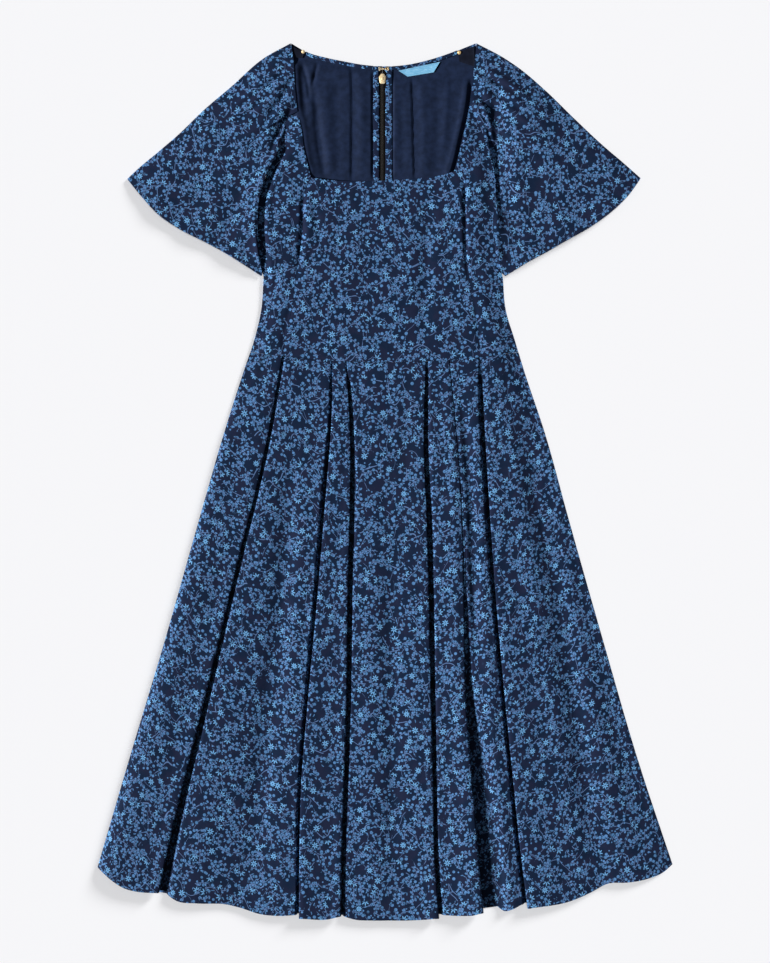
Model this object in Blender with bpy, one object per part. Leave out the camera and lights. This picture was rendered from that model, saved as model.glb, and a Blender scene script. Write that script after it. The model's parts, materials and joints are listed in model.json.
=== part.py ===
"""Square neck midi dress, laid flat on its back.

Lengths in the tables are millimetres. "down" is measured from the shoulder points towards the hem,
"across" from the dress's centre line, positive to the right as seen from above. "height" is above
the surface that the dress lies on. The world is in metres: +X across, +Y up towards the neck, +Z up.
"""
import bisect
import math
from collections import namedtuple

import bmesh
import bpy
import numpy as np

MM = 0.001

# Driving sizes of the whole dress
LENGTH = 1228.0
ARMPIT_DOWN = 328.0
ARMPIT_ROW_DOWN = ARMPIT_DOWN - 6.0
WAIST_SIDE_DOWN = 433.0
WAIST_CENTRE_DOWN = 447.0
WAIST_HALF_WIDTH = 185.0

# Cloth and the way its layers lie on each other
GAP = 0.3
BACK_CLOTH = 1.2
FRONT_CLOTH = 1.0
LINING_CLOTH = 1.0
TRIM_CLOTH = 1.0
PLEAT_GAP = 0.5
SEAM_HALF = 0.2
SLEEVE_SEAM_GAP = 0.5
LINING_BASE = BACK_CLOTH + GAP
TRIM_BASE = LINING_BASE + LINING_CLOTH + GAP
LOW = BACK_CLOTH + GAP + FRONT_CLOTH / 2
MIDDLE = LOW + FRONT_CLOTH + PLEAT_GAP
TOP = MIDDLE + FRONT_CLOTH + PLEAT_GAP

# Zip at the centre back
ZIP_ACROSS = -4.2
ZIP_END_DOWN = 560.0
TAPE_WIDTH = 12.0
TAPE_SHOWN = 3.5
FACING_WIDTH = 9.8
ZIP_FACING_END = 430.0
SLIDER_DOWN = 43.0
SLIDER_LENGTH = 14.0
SLIDER_ROOM = 5.6

Point = namedtuple("Point", "down across")
Width = namedtuple("Width", "down left right")
Corner = namedtuple("Corner", "across down")

# Side seams from the armpit to the hem corner
SIDE_SEAMS = [
    Width(328, -170.8, 164.5),
    Width(374, -174.3, 168.7),
    Width(416, -184.1, 181.3),
    Width(458, -198.1, 193.9),
    Width(542, -224.7, 221.9),
    Width(668, -261.1, 256.9),
    Width(836, -308.7, 304.5),
    Width(1004, -359.1, 353.5),
    Width(1152, -402.5, 402.5),
]

# Armhole seams from the neck edge to the armpit
ARMHOLE_LEFT = [
    Point(97, -123.5),
    Point(101, -133.0),
    Point(120, -140.7),
    Point(150, -149.1),
    Point(181, -164.5),
    Point(216, -175.7),
    Point(255, -178.5),
    Point(298, -175.7),
    Point(328, -170.8),
]
ARMHOLE_RIGHT = [
    Point(91, 117.5),
    Point(111, 129.5),
    Point(146, 140.7),
    Point(178, 150.5),
    Point(206, 153.3),
    Point(241, 150.0),
    Point(273, 150.5),
    Point(305, 156.1),
    Point(328, 164.5),
]

# Upright edges of the square neck, from the shoulder point to the corner
NECK_LEFT = [
    Point(0, -132.3),
    Point(24, -128.1),
    Point(46, -127.4),
    Point(73, -125.3),
    Point(97, -122.5),
    Point(118, -118.3),
    Point(148, -114.1),
    Point(172, -108.5),
    Point(189, -104.3),
]
NECK_RIGHT = [
    Point(0, 126.7),
    Point(17, 125.3),
    Point(56, 121.1),
    Point(91, 116.9),
    Point(137, 107.1),
    Point(160, 101.5),
    Point(180, 95.9),
]

# Straight front edge of the square neck, and the curve of the back neck
NECK_FRONT = [
    Corner(-104.3, 189),
    Corner(-69, 193),
    Corner(-30, 194),
    Corner(8, 192),
    Corner(37, 190),
    Corner(64, 187),
    Corner(85, 183),
    Corner(95.9, 180),
]
NECK_BACK = [
    Corner(-132.0, 0),
    Corner(-119.7, 7),
    Corner(-108.5, 13),
    Corner(-84.7, 20),
    Corner(-60.9, 25),
    Corner(-25.9, 31),
    Corner(-2.1, 32.5),
    Corner(28.7, 30.5),
    Corner(60.9, 23.5),
    Corner(87.5, 15),
    Corner(105.7, 8),
    Corner(126.4, 0),
]

# Bust seams from the corners of the neck to the waist
BUST_SEAM_LEFT = [
    Point(189, -104.3),
    Point(211, -114.1),
    Point(242, -115.5),
    Point(277, -118.3),
    Point(311, -123.9),
    Point(360, -129.5),
    Point(433, -143.5),
]
BUST_SEAM_RIGHT = [
    Point(180, 95.9),
    Point(192, 107.5),
    Point(220, 110.6),
    Point(260, 112.1),
    Point(294, 112.7),
    Point(314, 115.5),
    Point(367, 122.5),
    Point(433, 133.7),
]

# Sleeve outlines: the fold along the top, and the hem from its tip to the armpit
SLEEVE_FOLD_LEFT = [
    Corner(-132.3, 0),
    Corner(-170.1, 21),
    Corner(-214.9, 60),
    Corner(-252.7, 92),
    Corner(-289.1, 127),
    Corner(-317.1, 151),
    Corner(-349.3, 178),
    Corner(-361.9, 190),
]
SLEEVE_HEM_LEFT = [
    Corner(-361.9, 190),
    Corner(-342.3, 214),
    Corner(-317.1, 241),
    Corner(-289.1, 260),
    Corner(-249.9, 280),
    Corner(-219.1, 297),
    Corner(-192.5, 314),
    Corner(-174.0, 326),
]
SLEEVE_FOLD_RIGHT = [
    Corner(126.7, 0),
    Corner(164.5, 20),
    Corner(186.9, 35),
    Corner(224.7, 67),
    Corner(263.9, 105),
    Corner(304.5, 143),
    Corner(333.9, 168),
    Corner(357.7, 189),
]
SLEEVE_HEM_RIGHT = [
    Corner(357.7, 189),
    Corner(339.5, 214),
    Corner(321.3, 232),
    Corner(289.1, 256),
    Corner(254.1, 276),
    Corner(224.7, 293),
    Corner(202.3, 305),
    Corner(168.0, 326),
]

# Visible edge of each pressed fold of the front skirt, waist to hem
FOLD_A = [
    Point(433, -143.5),
    Point(570, -168.7),
    Point(738, -209.3),
    Point(941, -258.3),
    Point(1116, -301.7),
    Point(1190, -317.1),
]
FOLD_B = [
    Point(447, -74.0),
    Point(528, -75.5),
    Point(626, -83.0),
    Point(766, -94.5),
    Point(920, -108.5),
    Point(1032, -117.6),
    Point(1130, -120.4),
    Point(1222, -121.1),
]
FOLD_C = [
    Point(447, -55.3),
    Point(542, -49.7),
    Point(654, -49.7),
    Point(766, -52.5),
    Point(892, -53.9),
    Point(1004, -56.7),
    Point(1130, -60.9),
    Point(1224, -62.3),
]
FOLD_D = [
    Point(435, 56.7),
    Point(570, 53.9),
    Point(668, 58.1),
    Point(780, 60.9),
    Point(906, 63.7),
    Point(1032, 66.5),
    Point(1144, 69.3),
    Point(1224, 74.9),
]
FOLD_E = [
    Point(441, 88.9),
    Point(528, 97.3),
    Point(612, 104.3),
    Point(794, 109.9),
    Point(920, 112.7),
    Point(1060, 123.9),
    Point(1165, 132.3),
    Point(1217, 137.2),
]
FOLD_F = [
    Point(430, 133.7),
    Point(570, 140.7),
    Point(682, 147.7),
    Point(780, 154.7),
    Point(920, 167.3),
    Point(1032, 178.5),
    Point(1116, 186.9),
    Point(1207, 198.1),
]


class Line:
    """A smooth line through the points of a table: one column as a function of the other."""

    def __init__(self, keys, values):
        self.keys = [float(key) for key in keys]
        self.values = [float(value) for value in values]
        self.slopes = np.gradient(self.values, self.keys)

    @classmethod
    def down(cls, points):
        return cls([p.down for p in points], [p.across for p in points])

    @classmethod
    def across(cls, corners):
        return cls([c.across for c in corners], [c.down for c in corners])

    def at(self, key):
        """The line's value at a key, straight on past its ends."""
        if key <= self.keys[0]:
            return self.values[0] + self.slopes[0] * (key - self.keys[0])
        if key >= self.keys[-1]:
            return self.values[-1] + self.slopes[-1] * (key - self.keys[-1])
        i = bisect.bisect_right(self.keys, key) - 1
        span = self.keys[i + 1] - self.keys[i]
        t = (key - self.keys[i]) / span
        rise_start = self.slopes[i] * span * t * (1 - t) ** 2
        rise_end = self.slopes[i + 1] * span * (t - 1) * t**2
        ease = t * t * (3 - 2 * t)
        return self.values[i] + (self.values[i + 1] - self.values[i]) * ease + rise_start + rise_end


class Path:
    """A smooth plan curve through corners, read by its share of the length."""

    def __init__(self, corners):
        across = [c.across for c in corners]
        down = [c.down for c in corners]
        steps = np.hypot(np.diff(across), np.diff(down))
        share = np.concatenate([[0.0], np.cumsum(steps)]) / steps.sum()
        self.length = steps.sum()
        self.along_across = Line(share, across)
        self.along_down = Line(share, down)

    def at(self, share):
        return np.array([self.along_across.at(share), self.along_down.at(share)])


left_side = Line([w.down for w in SIDE_SEAMS], [w.left for w in SIDE_SEAMS])
right_side = Line([w.down for w in SIDE_SEAMS], [w.right for w in SIDE_SEAMS])
armhole_left = Line.down(ARMHOLE_LEFT)
armhole_right = Line.down(ARMHOLE_RIGHT)
neck_left = Line.down(NECK_LEFT)
neck_right = Line.down(NECK_RIGHT)
neck_front = Line.across(NECK_FRONT)
neck_back = Line.across(NECK_BACK)
bust_left = Line.down(BUST_SEAM_LEFT)
bust_right = Line.down(BUST_SEAM_RIGHT)


def ease(value, start, end):
    """0 at start, 1 at end, smooth between."""
    t = min(max((value - start) / (end - start), 0.0), 1.0)
    return t * t * (3 - 2 * t)


def blend(a, b, share):
    return a + (b - a) * share


def waist_down(across):
    """The waist seam: a shallow curve, lowest at the centre."""
    rise = min(1.0, (across / WAIST_HALF_WIDTH) ** 2)
    return blend(WAIST_CENTRE_DOWN, WAIST_SIDE_DOWN, rise)


def waist_crossing(across_at):
    """How far down a line meets the waist seam; the line gives across from down."""
    down = WAIST_CENTRE_DOWN
    for _ in range(4):
        down = waist_down(across_at(down))
    return down


def world(across, down, height):
    """A point of the dress, in metres, with the origin under the middle of its outline."""
    return (across * MM, (LENGTH / 2 - down) * MM, height * MM)


def material(name, colour, roughness, metallic=0.0):
    shader = bpy.data.materials.new(name)
    shader.use_nodes = True
    principled = shader.node_tree.nodes["Principled BSDF"]
    principled.inputs["Base Color"].default_value = (*colour, 1.0)
    principled.inputs["Roughness"].default_value = roughness
    principled.inputs["Metallic"].default_value = metallic
    return shader


def add_object(name, mesh, shader):
    node = bpy.data.objects.new(name, mesh)
    mesh.materials.append(shader)
    bpy.context.collection.objects.link(node)
    return node


def solid_from_walls(name, upper, lower, shader):
    """Close two equal grids of points, upper over lower, into one solid."""
    rows, columns = len(upper), len(upper[0])
    bm = bmesh.new()
    top = [[bm.verts.new(world(*point)) for point in row] for row in upper]
    bottom = [[bm.verts.new(world(*point)) for point in row] for row in lower]
    for i in range(rows - 1):
        for j in range(columns - 1):
            bm.faces.new((top[i][j], top[i + 1][j], top[i + 1][j + 1], top[i][j + 1]))
            bm.faces.new((bottom[i][j], bottom[i][j + 1], bottom[i + 1][j + 1], bottom[i + 1][j]))
    rim = [(i, 0) for i in range(rows)]
    rim += [(rows - 1, j) for j in range(1, columns)]
    rim += [(i, columns - 1) for i in range(rows - 2, -1, -1)]
    rim += [(0, j) for j in range(columns - 2, 0, -1)]
    for (i, j), (k, m) in zip(rim, rim[1:] + rim[:1]):
        bm.faces.new((top[k][m], top[i][j], bottom[i][j], bottom[k][m]))
    bmesh.ops.triangulate(bm, faces=bm.faces, quad_method="SHORT_EDGE")
    bmesh.ops.recalc_face_normals(bm, faces=bm.faces)
    mesh = bpy.data.meshes.new(name)
    bm.to_mesh(mesh)
    bm.free()
    mesh.shade_smooth()
    mesh.set_sharp_from_angle(angle=math.radians(50))
    return add_object(name, mesh, shader)


def cloth_solid(name, grid, thickness, shader, floor=None):
    """A wall of even thickness about a grid of middle points, offset square to the cloth.

    Where the wall's lower face comes near the floor height, it is laid flat on it.
    """
    middle = np.array(grid, dtype=float)
    along_row = np.gradient(middle, axis=1)
    along_column = np.gradient(middle, axis=0)
    normal = np.cross(along_row, along_column)
    normal /= np.linalg.norm(normal, axis=2, keepdims=True)
    flip = np.sign(normal[:, :1, 2:3])
    normal *= np.where(flip == 0, 1.0, flip)
    upper = middle + normal * thickness / 2
    lower = middle - normal * thickness / 2
    if floor is not None:
        for side in (upper, lower):
            near = side[:, :, 2] < floor + thickness * 0.3
            side[:, :, 2] = np.where(near, floor, side[:, :, 2])
    return solid_from_walls(name, upper, lower, shader)


def flat_piece(name, outline, base, thickness, shader):
    """A flat piece cut to a closed outline of corners, lying at a height."""
    bm = bmesh.new()
    ring = [bm.verts.new(world(c.across, c.down, base)) for c in outline]
    face = bm.faces.new(ring)
    raised = bmesh.ops.extrude_face_region(bm, geom=[face])["geom"]
    points = [item for item in raised if isinstance(item, bmesh.types.BMVert)]
    bmesh.ops.translate(bm, verts=points, vec=(0, 0, thickness * MM))
    bmesh.ops.triangulate(bm, faces=bm.faces)
    bmesh.ops.recalc_face_normals(bm, faces=bm.faces)
    mesh = bpy.data.meshes.new(name)
    bm.to_mesh(mesh)
    bm.free()
    return add_object(name, mesh, shader)


def inset(outline, distance):
    """The same closed outline, drawn in by a distance on every side."""
    points = np.array([(c.across, c.down) for c in outline], dtype=float)
    previous = np.roll(points, 1, axis=0)
    following = np.roll(points, -1, axis=0)
    area = np.sum(points[:, 0] * following[:, 1] - following[:, 0] * points[:, 1])
    turn = 1.0 if area > 0 else -1.0
    before = points - previous
    after = following - points
    before /= np.linalg.norm(before, axis=1, keepdims=True)
    after /= np.linalg.norm(after, axis=1, keepdims=True)
    normal_before = turn * np.stack([-before[:, 1], before[:, 0]], axis=1)
    normal_after = turn * np.stack([-after[:, 1], after[:, 0]], axis=1)
    middle = normal_before + normal_after
    middle /= np.maximum(np.sum(middle * normal_before, axis=1, keepdims=True), 0.3)
    return [Corner(*point) for point in points + middle * distance]


def sampled(line, start, end, count):
    """Corners along a line that gives across from down."""
    return [Corner(line.at(down), down) for down in np.linspace(start, end, count)]


def sampled_across(line, start, end, count, lowered=0.0):
    """Corners along a line that gives down from across."""
    return [Corner(across, line.at(across) + lowered) for across in np.linspace(start, end, count)]


# Heights of the front cloth

Crease = namedtuple("Crease", "line depth half_width start end")

BODICE_FOLD_LEFT = [Point(199, -104.3), Point(224, -100.1), Point(255, -94.5), Point(325, -81.9)]
BODICE_FOLD_RIGHT = [Point(206, 48.3), Point(276, 53.9), Point(344, 55.3), Point(435, 56.7)]
NECK_HEIGHT = 6.3
ARMHOLE_HEIGHT = 3.6
CREASES = [
    Crease(bust_left, 1.5, 5.0, 170, 470),
    Crease(bust_right, 1.5, 5.0, 165, 470),
    Crease(Line.down(BODICE_FOLD_LEFT), 1.0, 6.0, 185, 340),
    Crease(Line.down(BODICE_FOLD_RIGHT), 0.8, 8.0, 195, 450),
]


def outer_left(down):
    return armhole_left.at(down) if down < ARMPIT_DOWN else left_side.at(down)


def outer_right(down):
    return armhole_right.at(down) if down < ARMPIT_DOWN else right_side.at(down)


def front_height(across, down):
    """Height of the middle of the front cloth: crowned, low at the seams, with the bodice's creases."""
    crown = blend(NECK_HEIGHT, TOP, ease(down, 200, 420))
    edge = blend(ARMHOLE_HEIGHT, LOW, ease(down, 300, 350))
    inward = min(across - outer_left(down), outer_right(down) - across)
    height = blend(edge, crown, ease(inward, -2, 26))
    for crease in CREASES:
        reach = (across - crease.line.at(down)) / crease.half_width
        fade = ease(down, crease.start, crease.start + 40) * (1 - ease(down, crease.end - 40, crease.end))
        height -= crease.depth * fade * math.exp(-reach * reach)
    return max(height, LOW)


# The front skirt: stations across the cloth, each followed from the waist to the hem

Fold = namedtuple("Fold", "points over depth_waist depth_hem lift hem_over hem_under")
Wave = namedtuple("Wave", "share height hem")
Station = namedtuple("Station", "across height hem")

FOLDS = [
    Fold(FOLD_A, "left", 8, 22, 3.0, 1189, 1184),
    Fold(FOLD_B, "right", 5, 18, 1.5, 1225, 1219),
    Fold(FOLD_C, "left", 5, 18, 2.0, 1222, 1221),
    Fold(FOLD_D, "left", 8, 20, 1.2, 1225, 1220),
    Fold(FOLD_E, "left", 8, 24, 4.0, 1217, 1208),
    Fold(FOLD_F, "right", 8, 20, 1.8, 1211, 1204),
]
# The cloth between the side seams and the folds: height of its middle at the hem, and where the hem runs
PANELS = [
    [
        Wave(0.10, 3.2, 1160),
        Wave(0.28, 4.6, 1171),
        Wave(0.50, 5.4, 1182),
        Wave(0.74, 5.5, 1187.5),
        Wave(0.93, 7.0, 1189),
    ],
    [
        Wave(0.03, 2.6, 1189),
        Wave(0.12, 4.2, 1198),
        Wave(0.26, 5.2, 1204),
        Wave(0.42, 5.0, 1206),
        Wave(0.56, 4.0, 1210),
        Wave(0.68, 2.9, 1217),
        Wave(0.82, 4.4, 1222),
        Wave(0.94, 3.4, 1222),
    ],
    [Wave(0.25, 6.3, 1226), Wave(0.75, 6.6, 1226)],
    [
        Wave(0.03, 2.8, 1224.5),
        Wave(0.14, 4.4, 1227),
        Wave(0.32, 5.1, 1228),
        Wave(0.50, 4.5, 1228),
        Wave(0.68, 5.1, 1228),
        Wave(0.90, 5.7, 1226.5),
    ],
    [Wave(0.06, 2.8, 1220.5), Wave(0.30, 4.6, 1221), Wave(0.58, 6.0, 1221), Wave(0.86, 8.0, 1220)],
    [
        Wave(0.12, LOW, 1208),
        Wave(0.30, 2.1, 1208),
        Wave(0.46, 4.6, 1214),
        Wave(0.68, 4.8, 1212),
        Wave(0.90, 3.0, 1208),
    ],
    [
        Wave(0.06, 6.2, 1208.5),
        Wave(0.24, 5.4, 1202),
        Wave(0.40, 4.2, 1189),
        Wave(0.53, 3.0, 1176.5),
        Wave(0.66, 4.2, 1175),
        Wave(0.80, 5.0, 1170),
        Wave(0.92, 3.9, 1161),
    ],
]
SKIRT_ROWS = [0.0, 0.035, 0.08, 0.14, 0.22, 0.31, 0.41, 0.51, 0.61, 0.71, 0.81, 0.91, 1.0]
FOLD_REACH = 6.0
FOLD_SHOULDER = 5.0
FOLD_FOOT = 3.0
U_TURN = [90, 30, -30, -90]


def fold_stations(fold):
    """One pressed fold, from its upper layer round its visible edge, back beneath, and out again."""
    line = Line.down(fold.points)
    side = 1 if fold.over == "left" else -1

    def depth(down):
        return blend(fold.depth_waist, fold.depth_hem, ease(down, WAIST_CENTRE_DOWN, LENGTH))

    def lifted(row):
        return fold.lift * ease(row, 0.0, 0.7)

    def top(row):
        return TOP + lifted(row)

    def middle(row):
        return MIDDLE + lifted(row) / 2

    stations = [Station(lambda down: line.at(down) - side * FOLD_SHOULDER, top, fold.hem_over)]
    for degrees in U_TURN:
        turn = math.radians(degrees)

        def edge_across(down, turn=turn):
            radius = (TOP - MIDDLE) / 2
            return line.at(down) - side * (FRONT_CLOTH / 2 + radius * (1 - math.cos(turn)))

        def edge_height(row, turn=turn):
            return (top(row) + middle(row)) / 2 + (top(row) - middle(row)) / 2 * math.sin(turn)

        stations.append(Station(edge_across, edge_height, fold.hem_over - 0.5 * (degrees < 0)))
    for degrees in U_TURN:
        turn = math.radians(degrees)

        def inner_across(down, turn=turn):
            radius = (MIDDLE - LOW) / 2
            return line.at(down) - side * (depth(down) + radius * math.cos(turn))

        def inner_height(row, turn=turn):
            return (middle(row) + LOW) / 2 + (middle(row) - LOW) / 2 * math.sin(turn)

        stations.append(Station(inner_across, inner_height, min(fold.hem_over, fold.hem_under) - 1))
    stations.append(Station(lambda down: line.at(down) + side * FOLD_FOOT, lambda row: LOW, fold.hem_under))
    return stations if side == 1 else stations[::-1]


def panel_stations(waves, left, right):
    """The waves of one stretch of cloth between two lines that run from waist to hem."""
    stations = []
    for wave in waves:

        def across(down, share=wave.share):
            return blend(left(down), right(down), share)

        at_waist = front_height(across(WAIST_CENTRE_DOWN), WAIST_SIDE_DOWN)

        def height(row, at_waist=at_waist, at_hem=wave.height):
            return blend(at_waist, at_hem, ease(row, 0.0, 0.55))

        stations.append(Station(across, height, wave.hem))
    return stations


def skirt_front(shader):
    """The front skirt, sewn to the bodice at the waist seam."""
    left_edge = Station(left_side.at, lambda row: LOW, 1154)
    right_edge = Station(right_side.at, lambda row: LOW, 1150)
    bounds = [left_side.at]
    for fold in FOLDS:
        line = Line.down(fold.points)
        bounds.append(lambda down, line=line: line.at(down) - FOLD_REACH)
        bounds.append(lambda down, line=line: line.at(down) + FOLD_REACH)
    bounds.append(right_side.at)
    stations = [left_edge]
    for index, waves in enumerate(PANELS):
        stations += panel_stations(waves, bounds[2 * index], bounds[2 * index + 1])
        if index < len(FOLDS):
            stations += fold_stations(FOLDS[index])
    stations.append(right_edge)
    grid = []
    for row in SKIRT_ROWS:
        line = []
        for station in stations:
            start = waist_crossing(station.across) + GAP / 2
            down = blend(start, station.hem, row)
            line.append((station.across(down), down, station.height(row)))
        grid.append(line)
    return cloth_solid("skirt_front", grid, FRONT_CLOTH, shader, floor=BACK_CLOTH + GAP)


# The front bodice

Column = namedtuple("Column", "neck waist")

# Columns of the centre panel, as shares of its width at the neck and at the waist
CENTRE_COLUMNS = [
    Column(0, 0),
    Column(0.02, 0.04),
    Column(0.045, 0.11),
    Column(0.07, 0.17),
    Column(0.10, 0.23),
    Column(0.16, 0.30),
    Column(0.27, 0.38),
    Column(0.40, 0.46),
    Column(0.53, 0.55),
    Column(0.63, 0.64),
    Column(0.69, 0.69),
    Column(0.73, 0.73),
    Column(0.77, 0.77),
    Column(0.84, 0.84),
    Column(0.92, 0.92),
    Column(0.975, 0.97),
    Column(1, 1),
]
BODICE_ROWS = [0.0, 0.03, 0.09, 0.17, 0.26, 0.36, 0.46, 0.575, 0.68, 0.79, 0.90, 1.0]
SIDE_SHARES = [0, 0.05, 0.14, 0.26, 0.40, 0.56, 0.72, 0.86, 0.95, 1]
STRAP_DOWNS_LEFT = [100.6, 112, 128, 148, 170]
STRAP_DOWNS_RIGHT = [96, 112, 128, 146, 164]


def bodice_front_centre(shader):
    """The panel between the bust seams, from the neck's front edge to the waist."""
    grid = []
    for row in BODICE_ROWS:
        line = []
        for column in CENTRE_COLUMNS:
            share = blend(column.neck, column.waist, row)
            neck = neck_front.at(blend(NECK_FRONT[0].across, NECK_FRONT[-1].across, column.neck))
            waist = waist_crossing(lambda at: blend(bust_left.at(at), bust_right.at(at), column.waist))
            down = blend(neck, waist - GAP / 2, row)
            left = bust_left.at(down) + SEAM_HALF
            right = bust_right.at(down) - SEAM_HALF
            across = blend(left, right, share)
            line.append((across, down, front_height(across, down)))
        grid.append(line)
    return cloth_solid("bodice_front_centre", grid, FRONT_CLOTH, shader)


def armhole_downs(strap_downs, corner_down, outer):
    """Where the rows of a side panel meet the armhole, from the strap's top to near the armpit."""
    edge_waist = waist_down(outer(WAIST_SIDE_DOWN)) - GAP / 2
    below = [blend(corner_down, edge_waist, row) for row in BODICE_ROWS]
    return strap_downs + [down for down in below if down < ARMPIT_ROW_DOWN] + [ARMPIT_ROW_DOWN]


def bodice_front_side(name, strap_downs, corner_down, outer, neck_edge, bust_seam, side, shader):
    """A side panel: a strap beside the neck opening, widening to the waist. side is -1 on the left."""
    grid = []
    rows = [(down, None) for down in strap_downs] + [(corner_down, row) for row in BODICE_ROWS]
    for start, row in rows:
        line = []
        for share in SIDE_SHARES:
            if row is None:
                down = start
                inner = neck_edge.at(down)
            else:
                waist = waist_crossing(lambda at: blend(outer(at), bust_seam.at(at), share))
                down = blend(start, waist - GAP / 2, row)
                inner = bust_seam.at(down) + side * SEAM_HALF
            edge = outer(down) - side * (SEAM_HALF if down < ARMPIT_DOWN else 0.0)
            across = blend(edge, inner, share)
            line.append((across, down, front_height(across, down)))
        grid.append(line)
    return cloth_solid(name, grid, FRONT_CLOTH, shader, floor=BACK_CLOTH + GAP)


# The sleeves

SLEEVE_ROWS = [0.0, 0.03, 0.08, 0.16, 0.27, 0.40, 0.54, 0.68, 0.82, 0.93, 1.0]
SEAM_STEP = 0.035
GATHER_COUNT = 6
GATHER_END = 0.42
GATHER_HEIGHT = 0.55
FLUTE_COUNT = 4
FLUTE_HEIGHT = 0.6
SLEEVE_CROWN = 4.9
FOLD_HEIGHT_NECK = 4.4
CLOSED_HEIGHT = 2.7
BACK_SHARES = [1.0, 0.85, 0.7, 0.55, 0.4, 0.25, 0.12, 0.05]

# The armhole seam of the back, which the front hides
BACK_ARMHOLE_LEFT = [
    Corner(-132.3, 0),
    Corner(-141, 60),
    Corner(-157, 130),
    Corner(-170, 200),
    Corner(-175, 260),
    Corner(-171.5, ARMPIT_ROW_DOWN),
]
BACK_ARMHOLE_RIGHT = [
    Corner(126.7, 0),
    Corner(134, 60),
    Corner(146, 130),
    Corner(151, 200),
    Corner(153, 260),
    Corner(163.5, ARMPIT_ROW_DOWN),
]


class Chain:
    """Straight runs between corners, read by share of the length, with an edge drawn to one side."""

    def __init__(self, corners):
        self.points = np.array([(c.across, c.down) for c in corners], dtype=float)
        steps = np.linalg.norm(np.diff(self.points, axis=0), axis=1)
        self.length = steps.sum()
        self.shares = np.concatenate([[0.0], np.cumsum(steps)]) / self.length
        before = np.vstack([self.points[1] - self.points[0], np.diff(self.points, axis=0)])
        after = np.vstack([np.diff(self.points, axis=0), self.points[-1] - self.points[-2]])
        along = before / np.linalg.norm(before, axis=1, keepdims=True)
        along += after / np.linalg.norm(after, axis=1, keepdims=True)
        along /= np.linalg.norm(along, axis=1, keepdims=True)
        self.square = np.stack([along[:, 1], -along[:, 0]], axis=1)

    def at(self, share, aside=0.0):
        line = self.points + aside * self.square
        return np.array([np.interp(share, self.shares, line[:, k]) for k in (0, 1)])


def subdivided(shares_kept, longest):
    """The shares, with even steps added so that no step is longer than the given one."""
    result = [shares_kept[0]]
    for start, end in zip(shares_kept, shares_kept[1:]):
        count = max(1, math.ceil((end - start) / longest))
        result += [blend(start, end, i / count) for i in range(1, count + 1)]
    return result


def armhole_corners(neck_edge, armhole, seam_top, downs):
    """The front edge that a sleeve is gathered on to: beside the neck, then down the armhole."""
    beside_neck = [Corner(neck_edge.at(down), down) for down in np.linspace(0, seam_top, 5)]
    return beside_neck + [Corner(armhole.at(down), down) for down in downs]


def sleeve(name, seam_corners, back_corners, seam_top, fold_corners, hem_corners, side, shader):
    """One sheet folded over along its top: a back layer on the table and a gathered front layer."""
    seam = Chain(seam_corners)
    back_seam = Path(back_corners)
    back_chain = Chain([Corner(*back_seam.at(share)) for share in [0.0, *reversed(BACK_SHARES)]])
    hem = Path(hem_corners)
    fold = Path(fold_corners)

    def plan(edge, share, row):
        """Plan position: share runs from the top fold to the underarm, row from the seam to the hem."""
        start, end = edge.at(0.0, side * SLEEVE_SEAM_GAP), edge.at(1.0, side * SLEEVE_SEAM_GAP)
        top = fold.at(row) + (start - fold.at(0.0)) * (1 - row)
        under = blend(end, hem.at(1.0), row)
        across_rows = blend(top, under, share)
        across_shares = blend(edge.at(share, side * SLEEVE_SEAM_GAP), hem.at(share), row)
        corners = blend(blend(start, hem.at(0.0), row), blend(end, hem.at(1.0), row), share)
        return across_rows + across_shares - corners

    def front(share, row, point):
        """Height of the middle of the front layer."""
        joined = front_height(point[0], point[1]) if share * seam.length > seam_top else NECK_HEIGHT
        crown = blend(joined, SLEEVE_CROWN, ease(row, 0.0, 0.12))
        gathers = GATHER_HEIGHT * math.cos(2 * math.pi * GATHER_COUNT * share / GATHER_END)
        gathers *= 1 - ease(share, GATHER_END * 0.8, GATHER_END)
        gathers *= ease(row, 0.0, 0.06) * (1 - ease(row, 0.25, 0.6))
        flutes = FLUTE_HEIGHT * math.cos(2 * math.pi * FLUTE_COUNT * share) * ease(row, 0.3, 1.0)
        fold_height = blend(FOLD_HEIGHT_NECK, CLOSED_HEIGHT, ease(row, 0.0, 0.5))
        height = blend(fold_height, crown + gathers + flutes, ease(share, 0.0, 0.10))
        return blend(height, CLOSED_HEIGHT, ease(share, 0.90, 1.0))

    front_shares = [share for share in subdivided(list(seam.shares), SEAM_STEP) if share > 0.02]
    grid = []
    for row in SLEEVE_ROWS:
        run = blend(seam.length, hem.length, row)
        line = [(*plan(back_chain, share, row), BACK_CLOTH / 2) for share in BACK_SHARES]
        radius = (front(0.0, row, plan(seam, 0.0, row)) - BACK_CLOTH / 2) / 2
        for degrees in reversed(U_TURN):
            turn = math.radians(degrees)
            reach = BACK_CLOTH / 2 + radius * (1 - math.cos(turn))
            height = BACK_CLOTH / 2 + radius * (1 + math.sin(turn))
            edge = seam if degrees > 0 else back_chain
            line.append((*plan(edge, reach / run, row), height))
        for share in front_shares:
            point = plan(seam, share, row)
            line.append((*point, front(share, row, point)))
        grid.append(line)
    return cloth_solid(name, grid, BACK_CLOTH, shader, floor=0.0)


# The back, flat on the table

SKIRT_BACK_HEM = [
    Corner(-397, 1150),
    Corner(-360, 1177),
    Corner(-300, 1190),
    Corner(-200, 1207),
    Corner(-100, 1217),
    Corner(ZIP_ACROSS, 1221),
    Corner(100, 1215),
    Corner(200, 1200),
    Corner(300, 1172),
    Corner(360, 1163),
    Corner(397, 1147),
]
SLOT_HALF_WIDTH = 5.6
SLOT_TOP = 41.0
SLOT_END = 82.0


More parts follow.
